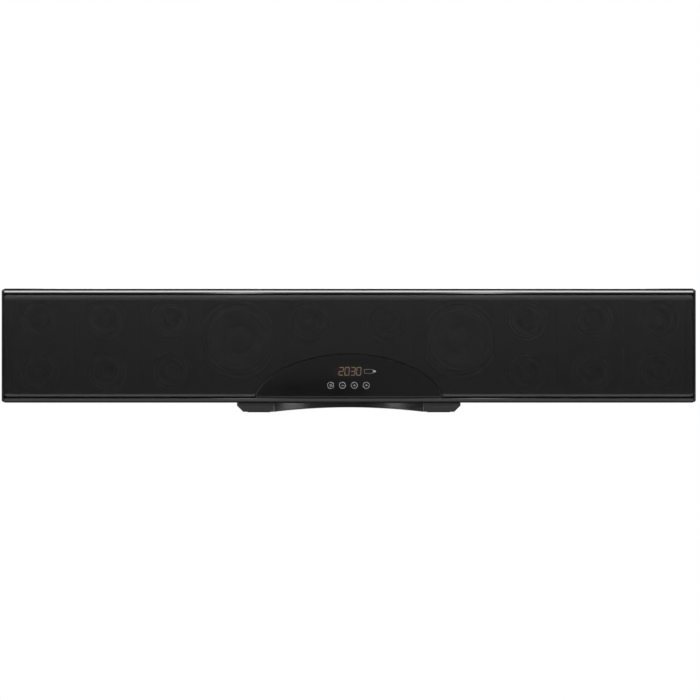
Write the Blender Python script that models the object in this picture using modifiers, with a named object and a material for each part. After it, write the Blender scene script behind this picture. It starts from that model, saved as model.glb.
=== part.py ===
"""A powered soundbar on a table foot: cabinet, driver array, control panel, pull-off grille.

Metres, +Z up. X runs to the right as seen from the front, the front faces -Y, and the origin
is at the bottom centre of the object's bounding box.
"""

from math import asin, cos, pi, radians, sin

import bmesh
import bpy
from mathutils import Vector

# Driving dimensions.
WIDTH = 1.092
DEPTH = 0.110
BODY_HEIGHT = 0.1796
FOOT_HEIGHT = 0.0154
GAP = 0.0003

# Levels and planes that follow from them.
BODY_BOTTOM = FOOT_HEIGHT
BODY_TOP = FOOT_HEIGHT + BODY_HEIGHT
FRONT = -DEPTH / 2
REAR = DEPTH / 2

# Rails, end caps and cabinet.
RAIL_HEIGHT = 0.0070
RAIL_FRONT = FRONT + 0.0015
RAIL_ROUNDING = 0.0060
CAP_THICKNESS = 0.0036
CAP_ROUNDING = 0.0032
INNER_HALF_WIDTH = WIDTH / 2 - CAP_THICKNESS - GAP
BAFFLE_FRONT = -0.044
BAFFLE_REAR = -0.036
SHELL_WALL = 0.003
SHELL_ROUNDING = 0.005

# Grille.
GROOVE = 0.0032
GRILLE_BOTTOM = BODY_BOTTOM + RAIL_HEIGHT + GROOVE
GRILLE_TOP = BODY_TOP - RAIL_HEIGHT - GROOVE
GRILLE_HALF_WIDTH = INNER_HALF_WIDTH - 0.001
GRILLE_REAR = -0.045
CLOTH_THICKNESS = 0.0008
CLOTH_ROUNDING = 0.005
FRAME_FRONT = FRONT + CLOTH_THICKNESS + GAP
FRAME_REAR = -0.0469
FRAME_ROUNDING = 0.0046
FRAME_MARGIN = 0.009
FRAME_BAR = 0.008
FRAME_TALL_WINDOWS = ((0.0040, 0.1000), (0.1204, 0.2284))
FRAME_SPLIT_WINDOWS = ((0.2450, 0.32725), (0.33525, 0.4315), (0.4395, 0.5296))
FRAME_MID_BAR_Z = 0.105
PEG_RADIUS = 0.003
PEG_HOLE_RADIUS = 0.0036
PEG_END = -0.0385
PEG_SIDES = 10
PEG_PLACES = ((0.1040, 0.1796), (0.33125, 0.1796), (0.5300, 0.1796), (0.2410, 0.0314), (0.4355, 0.0314))

# Control panel: an arch of an ellipse, cut off level above the bottom rail.
PANEL_HALF_WIDTH = 0.151
PANEL_RISE = 0.084
PANEL_AXIS_Z = 0.0066
PANEL_FRONT = FRONT + 0.0008
PANEL_BOTTOM = BODY_BOTTOM + RAIL_HEIGHT + 0.0005
PANEL_WALL = 0.0025
PANEL_EDGE = 0.0004
PANEL_LIP = 0.0036
NOTCH_CLEARANCE = 0.001
DISPLAY_X = (-0.030, 0.052)
DISPLAY_Z = (0.0535, 0.0760)
DISPLAY_THICKNESS = 0.0045
CONTROL_BOARD_Y = -0.0479
BOARD_THICKNESS = 0.0016

# Push keys.
KEY_RADIUS = 0.0056
KEY_HOLE_RADIUS = 0.0059
KEY_FLANGE_RADIUS = 0.007
KEY_STEM_RADIUS = 0.003
KEY_STEM_LENGTH = 0.0016
KEY_STANDS_OUT = 0.0003
KEY_SIDES = 20
KEY_Z = 0.0428
KEY_PLACES = {
    "power_key": -0.0285,
    "volume_down_key": -0.0098,
    "volume_up_key": 0.0089,
    "input_key": 0.0276,
}

# Drivers: (flange radius, basket radius, depth, cone travel each way, steps, has a coil gap).
WOOFER = (0.0620, 0.0540, 0.060, 0.0030, 24, True)
MID = (0.0345, 0.0295, 0.038, 0.0020, 20, True)
SMALL = (0.0330, 0.0280, 0.032, 0.0015, 16, False)
WOOFER_X, WOOFER_Z = 0.1744, 0.115
MID_X, MID_Z = 0.0613, 0.1405
SMALL_COLUMNS = (0.2795, 0.3830, 0.4880)
SMALL_ROWS = {"upper": 0.1460, "lower": 0.0640}
FLANGE_THICKNESS = 0.0022
FLANGE_FRONT = BAFFLE_FRONT - GAP - FLANGE_THICKNESS
BASKET_WALL = 0.0015
BASKET_CLEARANCE = 0.001
MAGNET_RADIUS = 0.62  # of the basket's radius
MAGNET_HEIGHT = 0.35  # of the driver's depth
POLE_RADIUS = 0.26  # of the basket's radius
COIL_GAP = 0.0024
COIL_DEPTH = 0.16  # of the driver's depth
CONE_THICKNESS = 0.0012

# Foot.
FOOT_HALF_WIDTH = 0.176
FOOT_SEAM = 0.1174
FOOT_SEAM_GAP = 0.0006
FOOT_UPRIGHT = 0.0046
FOOT_HALF_DEPTH = 0.047
FOOT_SCOOP = 0.014
ARCH_RISE = 0.0077
PAD_X = 0.142
PAD_HALF = (0.018, 0.036)
PAD_THICKNESS = 0.0024
PAD_STANDS_OUT = 0.001

# Rear.
TRAY_HALF_WIDTH = 0.110
TRAY_BOTTOM, TRAY_TOP = 0.050, 0.112
TRAY_WALL = 0.002
TRAY_FLOOR_Y = 0.034
SOCKET_Z = (TRAY_BOTTOM + TRAY_TOP) / 2
SOCKETS_X = -0.030
SOCKET_COUNT = 6
SOCKET_PITCH = 0.017
SOCKET_RADIUS = 0.0042
SOCKET_LENGTH = 0.010
INLET_X = 0.075
INLET_HALF = (0.0140, 0.0110)
INLET_FRONT, INLET_REAR = 0.0160, 0.0365
INLET_SOCKET = (0.0100, 0.0050)
INLET_DEPTH = 0.013
KEYHOLE_X, KEYHOLE_Z = 0.400, 0.155
KEYHOLE_ENTRY = 0.010
KEYHOLE_SLOT = 0.005
KEYHOLE_DROP = 0.006
PLATE_HALF_WIDTH, PLATE_HALF_HEIGHT = 0.018, 0.022
PLATE_THICKNESS = 0.0015
PLATE_POCKET = 0.0020
WELL_HALF_WIDTH, WELL_HALF_HEIGHT = 0.010, 0.015
WELL_DEPTH = 0.011
WELL_WALL = 0.002

SIDES = (("left", -1), ("right", 1))
MATERIALS = {
    # name: (colour, roughness, metallic)
    "shell_plastic": ((0.020, 0.020, 0.021), 0.55, 0.0),
    "gloss_black": ((0.010, 0.010, 0.011), 0.08, 0.0),
    "baffle_board": ((0.012, 0.012, 0.012), 0.80, 0.0),
    "frame_plastic": ((0.015, 0.015, 0.015), 0.60, 0.0),
    "grille_fabric": ((0.030, 0.030, 0.031), 0.95, 0.0),
    "panel_acrylic": ((0.008, 0.008, 0.009), 0.05, 0.0),
    "display": ((0.90, 0.42, 0.06), 0.40, 0.0),
    "key_plastic": ((0.030, 0.030, 0.031), 0.25, 0.0),
    "driver_metal": ((0.050, 0.050, 0.052), 0.40, 0.7),
    "cone_paper": ((0.060, 0.060, 0.062), 0.75, 0.0),
    "circuit_board": ((0.020, 0.110, 0.050), 0.45, 0.0),
    "supply_metal": ((0.450, 0.450, 0.460), 0.40, 0.9),
    "socket_plastic": ((0.030, 0.030, 0.030), 0.50, 0.0),
    "zinc_steel": ((0.550, 0.560, 0.570), 0.35, 1.0),
    "pad_rubber": ((0.020, 0.020, 0.020), 0.90, 0.0),
}


def clear_scene():
    for obj in list(bpy.data.objects):
        bpy.data.objects.remove(obj, do_unlink=True)


def new_collection(name):
    found = bpy.data.collections.get(name) or bpy.data.collections.new(name)
    if found.name not in bpy.context.scene.collection.children:
        bpy.context.scene.collection.children.link(found)
    return found


def new_material(name, colour, roughness, metallic):
    material = bpy.data.materials.new(name)
    material.use_nodes = True
    shader = material.node_tree.nodes["Principled BSDF"]
    shader.inputs["Base Color"].default_value = (*colour, 1.0)
    shader.inputs["Roughness"].default_value = roughness
    shader.inputs["Metallic"].default_value = metallic
    return material


def add(name, mesh, material=None):
    """An object in the soundbar's collection or, with no material, a cutter in the other one."""
    obj = bpy.data.objects.new(name, mesh)
    if material:
        mesh.materials.clear()
        mesh.materials.append(bpy.data.materials[material])
        parts.objects.link(obj)
    else:
        obj.hide_render = True
        obj.display_type = "WIRE"
        cutters.objects.link(obj)
    return obj


def block(name, low, high, material=None):
    """A box between two corners, with its origin at its centre and its scale applied."""
    low, high = Vector(low), Vector(high)
    made = bmesh.new()
    bmesh.ops.create_cube(made, size=1.0)
    bmesh.ops.scale(made, vec=high - low, verts=made.verts)
    mesh = bpy.data.meshes.new(name)
    made.to_mesh(mesh)
    made.free()
    obj = add(name, mesh, material)
    obj.location = (low + high) / 2
    return obj


def cylinder(name, radius, centre, y_low, y_high, segments, material=None):
    """A cylinder along Y between two planes, at centre (x, z)."""
    made = bmesh.new()
    bmesh.ops.create_cone(
        made, cap_ends=True, segments=segments, radius1=radius, radius2=radius, depth=y_high - y_low
    )
    mesh = bpy.data.meshes.new(name)
    made.to_mesh(mesh)
    made.free()
    obj = add(name, mesh, material)
    obj.rotation_euler = (pi / 2, 0, 0)
    obj.location = (centre[0], (y_low + y_high) / 2, centre[1])
    return obj


def turned(name, profile, centre, plane, steps, material=None):
    """A profile of (radius, forward) points turned about the Y line through centre (x, z)."""
    mesh = bpy.data.meshes.new(name)
    points = [(radius, 0, forward) for radius, forward in profile]
    mesh.from_pydata(points, [(i, i + 1) for i in range(len(points) - 1)], [])
    obj = add(name, mesh, material)
    screw = obj.modifiers.new("turn", "SCREW")
    screw.steps = steps
    screw.render_steps = steps
    screw.use_merge_vertices = True
    screw.merge_threshold = 0.0001
    screw.use_smooth_shade = True
    obj.rotation_euler = (pi / 2, 0, 0)
    obj.location = (centre[0], plane, centre[1])
    return obj


def extruded(name, outline, low, high, turn, material=None):
    """A closed flat outline, drawn as a 2D curve and made a solid between two planes.

    turn is the rotation that takes the drawing's x, y and z to the object's own directions,
    and low and high are distances along the drawing's z.
    """
    curve = bpy.data.curves.new(name, "CURVE")
    curve.dimensions = "2D"
    curve.fill_mode = "BOTH"
    curve.extrude = (high - low) / 2
    spline = curve.splines.new("POLY")
    spline.points.add(len(outline) - 1)
    for point, (x, y) in zip(spline.points, outline):
        point.co = (x, y, 0, 1)
    spline.use_cyclic_u = True
    drawing = bpy.data.objects.new(name + "_drawing", curve)
    cutters.objects.link(drawing)
    bpy.context.view_layer.update()
    graph = bpy.context.evaluated_depsgraph_get()
    mesh = bpy.data.meshes.new_from_object(drawing.evaluated_get(graph))
    bpy.data.objects.remove(drawing, do_unlink=True)
    made = bmesh.new()
    made.from_mesh(mesh)
    bmesh.ops.remove_doubles(made, verts=made.verts, dist=1e-6)
    bmesh.ops.translate(made, verts=made.verts, vec=(0, 0, (low + high) / 2))
    bmesh.ops.recalc_face_normals(made, faces=made.faces)
    made.to_mesh(mesh)
    made.free()
    obj = add(name, mesh, material)
    obj.rotation_euler = turn
    return obj


FRONT_VIEW = (pi / 2, 0, 0)  # the drawing's x, y, z are the object's X, Z, -Y
SIDE_VIEW = (pi / 2, 0, pi / 2)  # the drawing's x, y, z are the object's Y, Z, X
TOP_VIEW = (0, 0, 0)


def cut(obj, cutter):
    modifier = obj.modifiers.new("cut_" + cutter.name, "BOOLEAN")
    modifier.operation = "DIFFERENCE"
    modifier.object = cutter


def unite(obj, other):
    modifier = obj.modifiers.new("join_" + other.name, "BOOLEAN")
    modifier.operation = "UNION"
    modifier.object = other


def round_edges(obj, width, segments, chosen=None):
    """Rounds the edges for which chosen(a, b) holds, given each edge's two ends, or all sharp ones."""
    bevel = obj.modifiers.new("rounding", "BEVEL")
    bevel.width = width
    bevel.segments = segments
    bevel.use_clamp_overlap = False
    if not chosen:
        bevel.limit_method = "ANGLE"
        bevel.angle_limit = radians(50)
        return
    bevel.limit_method = "WEIGHT"
    mesh = obj.data
    weights = mesh.attributes.new("bevel_weight_edge", "FLOAT", "EDGE")
    for edge in mesh.edges:
        ends = [obj.location + mesh.vertices[i].co for i in edge.vertices]
        weights.data[edge.index].value = 1.0 if chosen(*ends) else 0.0


def shade_by_angle(obj):
    obj.data.shade_smooth()
    obj.data.set_sharp_from_angle(angle=radians(35))


def arc(centre, radius, start, end, steps):
    """Points along an arc of a circle, angles in degrees."""
    angles = [radians(start + (end - start) * i / steps) for i in range(steps + 1)]
    return [(centre[0] + radius * cos(a), centre[1] + radius * sin(a)) for a in angles]


def arch(growth, bottom, steps=28):
    """The control panel's arch, grown outwards, as points from its right foot to its left one."""
    half = PANEL_HALF_WIDTH + growth
    rise = PANEL_RISE + growth
    start = asin((bottom - PANEL_AXIS_Z) / rise)
    angles = [start + (pi - 2 * start) * i / steps for i in range(steps + 1)]
    return [(half * cos(a), PANEL_AXIS_Z + rise * sin(a)) for a in angles]


def front_plate(name, outline, y_low, y_high, material=None):
    """An outline of (x, z) points, solid between two planes across Y."""
    return extruded(name, outline, -y_high, -y_low, FRONT_VIEW, material)


def open_box(name, low, high, open_side, wall, material):
    """A box with one side missing, for a later Solidify: open_side -1 is the front, 1 the rear."""
    obj = block(name, low, high, material)
    made = bmesh.new()
    made.from_mesh(obj.data)
    missing = [face for face in made.faces if face.normal.y * open_side > 0.5]
    bmesh.ops.delete(made, geom=missing, context="FACES_ONLY")
    made.to_mesh(obj.data)
    made.free()
    return obj


def thicken(obj, wall):
    """Gives an open surface its wall, inwards."""
    solidify = obj.modifiers.new("wall", "SOLIDIFY")
    solidify.thickness = wall
    solidify.offset = -1
    solidify.use_even_offset = True


# Cabinet.


def rail(name, outer, inwards):
    """A glossy bar whose outer front edge is well rounded, from the front back to the shell.

    outer is the level of its outer face, and inwards is 1 where the bar lies above that, -1 below.
    """
    centre = (RAIL_FRONT + RAIL_ROUNDING, outer + inwards * RAIL_ROUNDING)
    nose = arc(centre, RAIL_ROUNDING, 180 + inwards * 90, 180, 8)
    inner = outer + inwards * RAIL_HEIGHT
    outline = nose + [(RAIL_FRONT, inner), (BAFFLE_REAR, inner), (BAFFLE_REAR, outer)]
    obj = extruded(name, outline, -INNER_HALF_WIDTH, INNER_HALF_WIDTH, SIDE_VIEW, "gloss_black")
    shade_by_angle(obj)
    return obj


def end_cap(name, side):
    inner = WIDTH / 2 - CAP_THICKNESS
    xs = sorted((side * inner, side * WIDTH / 2))
    obj = block(name, (xs[0], RAIL_FRONT, BODY_BOTTOM), (xs[1], REAR, BODY_TOP), "gloss_black")
    round_edges(obj, CAP_ROUNDING, 4, lambda a, b: max(abs(a.x), abs(b.x)) > inner + 0.001)
    shade_by_angle(obj)
    return obj


def tray_cutter():
    grow = GAP + 0.0001
    low = (-TRAY_HALF_WIDTH - grow, REAR - 0.010, TRAY_BOTTOM - grow)
    high = (TRAY_HALF_WIDTH + grow, REAR + 0.010, TRAY_TOP + grow)
    return block("tray_opening", low, high)


def cabinet_shell():
    """The rear tub: top, bottom, ends and back, open at the front, with its rear openings."""
    low = (-INNER_HALF_WIDTH, BAFFLE_REAR + GAP, BODY_BOTTOM)
    high = (INNER_HALF_WIDTH, REAR, BODY_TOP)
    obj = open_box("cabinet_shell", low, high, -1, SHELL_WALL, "shell_plastic")
    at_rear = REAR - 0.001
    round_edges(
        obj, SHELL_ROUNDING, 4, lambda a, b: min(a.y, b.y) > at_rear and abs(a.x - b.x) > 0.1
    )
    thicken(obj, SHELL_WALL)
    cut(obj, tray_cutter())
    for side_name, side in SIDES:
        x = side * KEYHOLE_X
        boss_half = (WELL_HALF_WIDTH + WELL_WALL, WELL_HALF_HEIGHT + WELL_WALL)
        boss_low = (x - boss_half[0], REAR - WELL_DEPTH - WELL_WALL, KEYHOLE_Z - boss_half[1])
        boss_high = (x + boss_half[0], REAR - SHELL_WALL / 2, KEYHOLE_Z + boss_half[1])
        unite(obj, block("screw_boss_" + side_name, boss_low, boss_high))
        pocket_low = (x - PLATE_HALF_WIDTH - GAP, REAR - PLATE_POCKET, KEYHOLE_Z - PLATE_HALF_HEIGHT - GAP)
        pocket_high = (x + PLATE_HALF_WIDTH + GAP, REAR + 0.010, KEYHOLE_Z + PLATE_HALF_HEIGHT + GAP)
        cut(obj, block("plate_pocket_" + side_name, pocket_low, pocket_high))
        well_low = (x - WELL_HALF_WIDTH, REAR - WELL_DEPTH, KEYHOLE_Z - WELL_HALF_HEIGHT)
        well_high = (x + WELL_HALF_WIDTH, REAR + 0.010, KEYHOLE_Z + WELL_HALF_HEIGHT)
        cut(obj, block("screw_well_" + side_name, well_low, well_high))
    shade_by_angle(obj)
    return obj


def keyhole_plate(name, side):
    """A steel wall plate: a round entry for a screw's head, with a slot above it for the shank."""
    x = side * KEYHOLE_X
    rear = REAR - 0.0002
    front = rear - PLATE_THICKNESS
    low = (x - PLATE_HALF_WIDTH, front, KEYHOLE_Z - PLATE_HALF_HEIGHT)
    high = (x + PLATE_HALF_WIDTH, rear, KEYHOLE_Z + PLATE_HALF_HEIGHT)
    obj = block(name, low, high, "zinc_steel")
    cutter = name + "_opening"
    entry_z = KEYHOLE_Z - KEYHOLE_DROP
    slot_end = KEYHOLE_Z + KEYHOLE_DROP
    half = KEYHOLE_SLOT / 2
    join = asin(KEYHOLE_SLOT / KEYHOLE_ENTRY)
    turn = 90 - join * 180 / pi
    entry = arc((x, entry_z), KEYHOLE_ENTRY / 2, turn, 180 - turn - 360, 16)
    top = arc((x, slot_end), half, 180, 0, 6)
    cut(obj, front_plate(cutter, entry + top, front - 0.002, rear + 0.002))
    return obj


def driver_places():
    """(name, centre, kind) of each driver."""
    for side_name, side in SIDES:
        yield "woofer_" + side_name, (side * WOOFER_X, WOOFER_Z), WOOFER
        yield "mid_" + side_name, (side * MID_X, MID_Z), MID
        for column, x in enumerate(SMALL_COLUMNS, 1):
            for row_name, z in SMALL_ROWS.items():
                yield f"small_{side_name}_{column}_{row_name}", (side * x, z), SMALL


def peg_places():
    for side_name, side in SIDES:
        for number, (x, z) in enumerate(PEG_PLACES, 1):
            yield f"{side_name}_{number}", (side * x, z)


def front_baffle():
    """The board that holds the drivers, with a hole for each and for each of the grille's pegs."""
    low = (-INNER_HALF_WIDTH, BAFFLE_FRONT, BODY_BOTTOM + RAIL_HEIGHT + GAP)
    high = (INNER_HALF_WIDTH, BAFFLE_REAR, BODY_TOP - RAIL_HEIGHT - GAP)
    obj = block("front_baffle", low, high, "baffle_board")
    beyond = (BAFFLE_FRONT - 0.002, BAFFLE_REAR + 0.002)
    for name, centre, (_, body_radius, _, _, steps, _) in driver_places():
        cut(obj, cylinder("hole_" + name, body_radius + BASKET_CLEARANCE, centre, *beyond, steps))
    for name, centre in peg_places():
        cut(obj, cylinder("peg_hole_" + name, PEG_HOLE_RADIUS, centre, *beyond, PEG_SIDES))
    slot_low = (-0.016, beyond[0], KEY_Z + 0.014)
    slot_high = (0.016, beyond[1], KEY_Z + 0.028)
    cut(obj, block("wiring_slot", slot_low, slot_high))
    return obj


# Drivers.


def basket(name, centre, kind):
    """A driver's fixed half: flange, basket and magnet, one turned piece open at the front."""
    flange, body, depth, _, steps, has_coil_gap = kind
    magnet = MAGNET_RADIUS * body
    plate = -depth * (1 - MAGNET_HEIGHT)
    profile = [(0, plate)]
    if has_coil_gap:
        pole = POLE_RADIUS * body
        well = plate - 0.75 * MAGNET_HEIGHT * depth
        profile += [(pole, plate), (pole, well), (pole + COIL_GAP, well), (pole + COIL_GAP, plate)]
    profile += [
        (magnet - 0.002, plate),
        (body - BASKET_WALL, -0.0095),
        (body - BASKET_WALL, 0),
        (flange, 0),
        (flange, -FLANGE_THICKNESS),
        (body, -FLANGE_THICKNESS),
        (body, -0.011),
        (magnet, plate),
        (magnet, -depth),
        (0, -depth),
    ]
    return turned(name + "_basket", profile, centre, FLANGE_FRONT, steps, "driver_metal")


def cone(name, centre, kind):
    """A driver's moving half: cone, dust cap and, in the large ones, the voice coil's former."""
    _, body, depth, travel, steps, has_coil_gap = kind
    rim = body - BASKET_WALL - 0.0005
    plate = -depth * (1 - MAGNET_HEIGHT)
    neck = plate + travel + 0.002
    former = POLE_RADIUS * body + COIL_GAP / 2
    cap = former * 1.35
    slope = (-0.001 - neck) / (rim - former)
    cap_edge = neck + CONE_THICKNESS + slope * (cap - former)
    profile = [
        (0, cap_edge + 0.35 * cap),
        (cap * 0.6, cap_edge + 0.25 * cap),
        (cap, cap_edge),
        (rim, -0.0005),
        (rim, -0.0005 - CONE_THICKNESS),
    ]
    if has_coil_gap:
        wall = COIL_GAP / 6
        bottom = plate - COIL_DEPTH * depth
        profile += [
            (former + wall, neck),
            (former + wall, bottom),
            (former - wall, bottom),
            (former - wall, neck + 0.0008),
            (0, neck + 0.0008),
        ]
    else:
        profile += [(former, neck), (0, neck)]
    return turned(name + "_cone", profile, centre, FLANGE_FRONT, steps, "cone_paper")


# Grille.


def grille_corners(inset, front, rear):
    low = (-GRILLE_HALF_WIDTH + inset, front, GRILLE_BOTTOM + inset)
    high = (GRILLE_HALF_WIDTH - inset, rear, GRILLE_TOP - inset)
    return low, high


def grille_cloth():
    """The cloth's outer shape: a shallow shell with rounded edges, cut out round the panel."""
    low, high = grille_corners(0, FRONT, GRILLE_REAR)
    obj = open_box("grille_cloth", low, high, 1, CLOTH_THICKNESS, "grille_fabric")
    round_edges(obj, CLOTH_ROUNDING, 4, lambda a, b: min(a.y, b.y) < FRONT + 0.001)
    thicken(obj, CLOTH_THICKNESS)
    notch = arch(NOTCH_CLEARANCE, GRILLE_BOTTOM - 0.008)
    cut(obj, front_plate("cloth_notch", notch, FRONT - 0.005, GRILLE_REAR + 0.005))
    shade_by_angle(obj)
    return obj


def window(name, x_low, x_high, z_low, z_high):
    low = (x_low, FRAME_FRONT - 0.003, z_low)
    high = (x_high, FRAME_REAR + 0.003, z_high)
    return block(name, low, high)


def grille_windows():
    """(name, x range, z range) of the right half's windows between the frame's bars."""
    inset = CLOTH_THICKNESS + GAP + FRAME_MARGIN
    z_low, z_high = GRILLE_BOTTOM + inset, GRILLE_TOP - inset
    for number, span in enumerate(FRAME_TALL_WINDOWS, 1):
        yield f"tall_{number}", span, (z_low, z_high)
    for number, span in enumerate(FRAME_SPLIT_WINDOWS, 1):
        yield f"lower_{number}", span, (z_low, FRAME_MID_BAR_Z - FRAME_BAR / 2)
        yield f"upper_{number}", span, (FRAME_MID_BAR_Z + FRAME_BAR / 2, z_high)


def grille_frame():
    """The frame that the cloth is stretched over: margin, bars, an arch over the panel and pegs."""
    inset = CLOTH_THICKNESS + GAP
    low, high = grille_corners(inset, FRAME_FRONT, FRAME_REAR)
    obj = block("grille_frame", low, high, "frame_plastic")
    front_edge = FRAME_FRONT + 0.001
    round_edges(obj, FRAME_ROUNDING, 4, lambda a, b: min(a.y, b.y) < front_edge)
    for side_name, side in SIDES:
        for name, xs, zs in grille_windows():
            x_low, x_high = sorted(side * x for x in xs)
            cut(obj, window(f"window_{side_name}_{name}", x_low, x_high, *zs))
    edge = NOTCH_CLEARANCE + inset
    over = arch(edge + FRAME_BAR, GRILLE_BOTTOM + inset + FRAME_ROUNDING)
    unite(obj, front_plate("arch_bar", over, FRAME_FRONT + 0.0002, FRAME_REAR - 0.0002))
    notch = arch(edge, GRILLE_BOTTOM - 0.008)
    cut(obj, front_plate("frame_notch", notch, FRAME_FRONT - 0.003, FRAME_REAR + 0.003))
    for name, centre in peg_places():
        peg = cylinder("peg_" + name, PEG_RADIUS, centre, FRAME_REAR - 0.003, PEG_END, PEG_SIDES)
        unite(obj, peg)
    shade_by_angle(obj)
    return obj


# Control panel.


def control_panel():
    """The glossy fascia: an arch-shaped shell, open at the rear, with four round key holes."""
    rear = BAFFLE_FRONT - GAP
    obj = front_plate("control_panel", arch(0, PANEL_BOTTOM), PANEL_FRONT, rear, "panel_acrylic")
    at_lip = Vector((0, PANEL_BOTTOM, -PANEL_FRONT))
    round_edges(obj, PANEL_LIP, 4, lambda a, b: max((p - at_lip).yz.length for p in (a, b)) < 0.0001)
    round_edges(obj, PANEL_EDGE, 2)
    inside = arch(-PANEL_WALL, PANEL_BOTTOM + PANEL_WALL)
    cut(obj, front_plate("panel_inside", inside, PANEL_FRONT + PANEL_WALL, rear + 0.005))
    for name, x in KEY_PLACES.items():
        ends = (PANEL_FRONT - 0.003, PANEL_FRONT + PANEL_WALL + 0.002)
        cut(obj, cylinder("hole_" + name, KEY_HOLE_RADIUS, (x, KEY_Z), *ends, KEY_SIDES))
    shade_by_angle(obj)
    return obj


def key(name, x):
    """A round push key: a cap with a softened edge, the flange that retains it and its stem."""
    flange_front = -(PANEL_WALL + KEY_STANDS_OUT + GAP)
    flange_rear = flange_front - 0.001
    profile = [
        (0, 0),
        (KEY_RADIUS - 0.0004, 0),
        (KEY_RADIUS, -0.0004),
        (KEY_RADIUS, flange_front),
        (KEY_FLANGE_RADIUS, flange_front),
        (KEY_FLANGE_RADIUS, flange_rear),
        (KEY_STEM_RADIUS, flange_rear),
        (KEY_STEM_RADIUS, flange_rear - KEY_STEM_LENGTH),
        (0, flange_rear - KEY_STEM_LENGTH),
    ]
    front = PANEL_FRONT - KEY_STANDS_OUT
    return turned(name, profile, (x, KEY_Z), front, KEY_SIDES, "key_plastic")


def panel_electronics():
    """The lit display and the board that the keys press on, inside the fascia."""
    face = PANEL_FRONT + PANEL_WALL + GAP
    display_low = (DISPLAY_X[0], face, DISPLAY_Z[0])
    display_high = (DISPLAY_X[1], face + DISPLAY_THICKNESS, DISPLAY_Z[1])
    block("display_module", display_low, display_high, "display")
    board_low = (-0.040, CONTROL_BOARD_Y, BODY_BOTTOM + 0.014)
    board_high = (0.040, CONTROL_BOARD_Y + BOARD_THICKNESS, DISPLAY_Z[0] - 0.001)
    block("control_board", board_low, board_high, "circuit_board")


# Rear connectors and electronics.


def connector_tray():
    """The recess in the back that the sockets stand in."""
    low = (-TRAY_HALF_WIDTH, TRAY_FLOOR_Y - TRAY_WALL, TRAY_BOTTOM)
    high = (TRAY_HALF_WIDTH, REAR - 0.0003, TRAY_TOP)
    obj = open_box("connector_tray", low, high, 1, TRAY_WALL, "shell_plastic")
    thicken(obj, TRAY_WALL)
    grow = GAP + 0.0001
    hole_low = (INLET_X - INLET_HALF[0] - grow, TRAY_FLOOR_Y - 0.010, SOCKET_Z - INLET_HALF[1] - grow)
    hole_high = (INLET_X + INLET_HALF[0] + grow, TRAY_FLOOR_Y + 0.010, SOCKET_Z + INLET_HALF[1] + grow)
    cut(obj, block("inlet_hole", hole_low, hole_high))
    return obj


def mains_inlet():
    """A two-pole mains inlet: a block through the tray's floor with its socket facing the rear."""
    low = (INLET_X - INLET_HALF[0], INLET_FRONT, SOCKET_Z - INLET_HALF[1])
    high = (INLET_X + INLET_HALF[0], INLET_REAR, SOCKET_Z + INLET_HALF[1])
    obj = block("mains_inlet", low, high, "socket_plastic")
    well_low = (INLET_X - INLET_SOCKET[0], INLET_REAR - INLET_DEPTH, SOCKET_Z - INLET_SOCKET[1])
    well_high = (INLET_X + INLET_SOCKET[0], INLET_REAR + 0.005, SOCKET_Z + INLET_SOCKET[1])
    cut(obj, block("inlet_socket", well_low, well_high))
    return obj


def input_sockets():
    """The signal sockets: one plate on the tray's floor with a row of round barrels."""
    front = TRAY_FLOOR_Y + GAP
    low = (SOCKETS_X - 0.055, front, SOCKET_Z - 0.012)
    high = (SOCKETS_X + 0.055, front + 0.002, SOCKET_Z + 0.012)
    obj = block("input_sockets", low, high, "socket_plastic")
    for number in range(SOCKET_COUNT):
        x = SOCKETS_X + (number - (SOCKET_COUNT - 1) / 2) * SOCKET_PITCH
        ends = (front + 0.001, front + SOCKET_LENGTH)
        unite(obj, cylinder(f"barrel_{number + 1}", SOCKET_RADIUS, (x, SOCKET_Z), *ends, 12))
    return obj


def boards():
    """The main board behind the sockets, the amplifier on the left and the supply on the right."""
    main_low = (-0.095, TRAY_FLOOR_Y - 0.0065, 0.040)
    main_high = (INLET_X - 0.025, TRAY_FLOOR_Y - 0.0065 + BOARD_THICKNESS, 0.130)
    block("main_board", main_low, main_high, "circuit_board")
    amplifier_front = REAR - 0.011
    amplifier = block(
        "amplifier_board",
        (-0.350, amplifier_front, 0.050),
        (-0.230, amplifier_front + BOARD_THICKNESS, 0.160),
        "circuit_board",
    )
    for number in range(4):
        x = -0.335 + 0.024 * number
        fin_low = (x, amplifier_front - 0.016, 0.090)
        fin_high = (x + 0.012, amplifier_front + 0.0008, 0.150)
        unite(amplifier, block(f"amplifier_part_{number + 1}", fin_low, fin_high))
    supply = block(
        "power_supply",
        (0.235, amplifier_front, 0.050),
        (0.345, amplifier_front + BOARD_THICKNESS, 0.160),
        "supply_metal",
    )
    transformer_low = (0.250, amplifier_front - 0.030, 0.065)
    transformer_high = (0.300, amplifier_front + 0.0008, 0.110)
    unite(supply, block("supply_transformer", transformer_low, transformer_high))
    for number, z in enumerate((0.128, 0.146), 1):
        ends = (amplifier_front - 0.025, amplifier_front + 0.0008)
        unite(supply, cylinder(f"supply_capacitor_{number}", 0.007, (0.262, z), *ends, 12))


# Foot.


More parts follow.
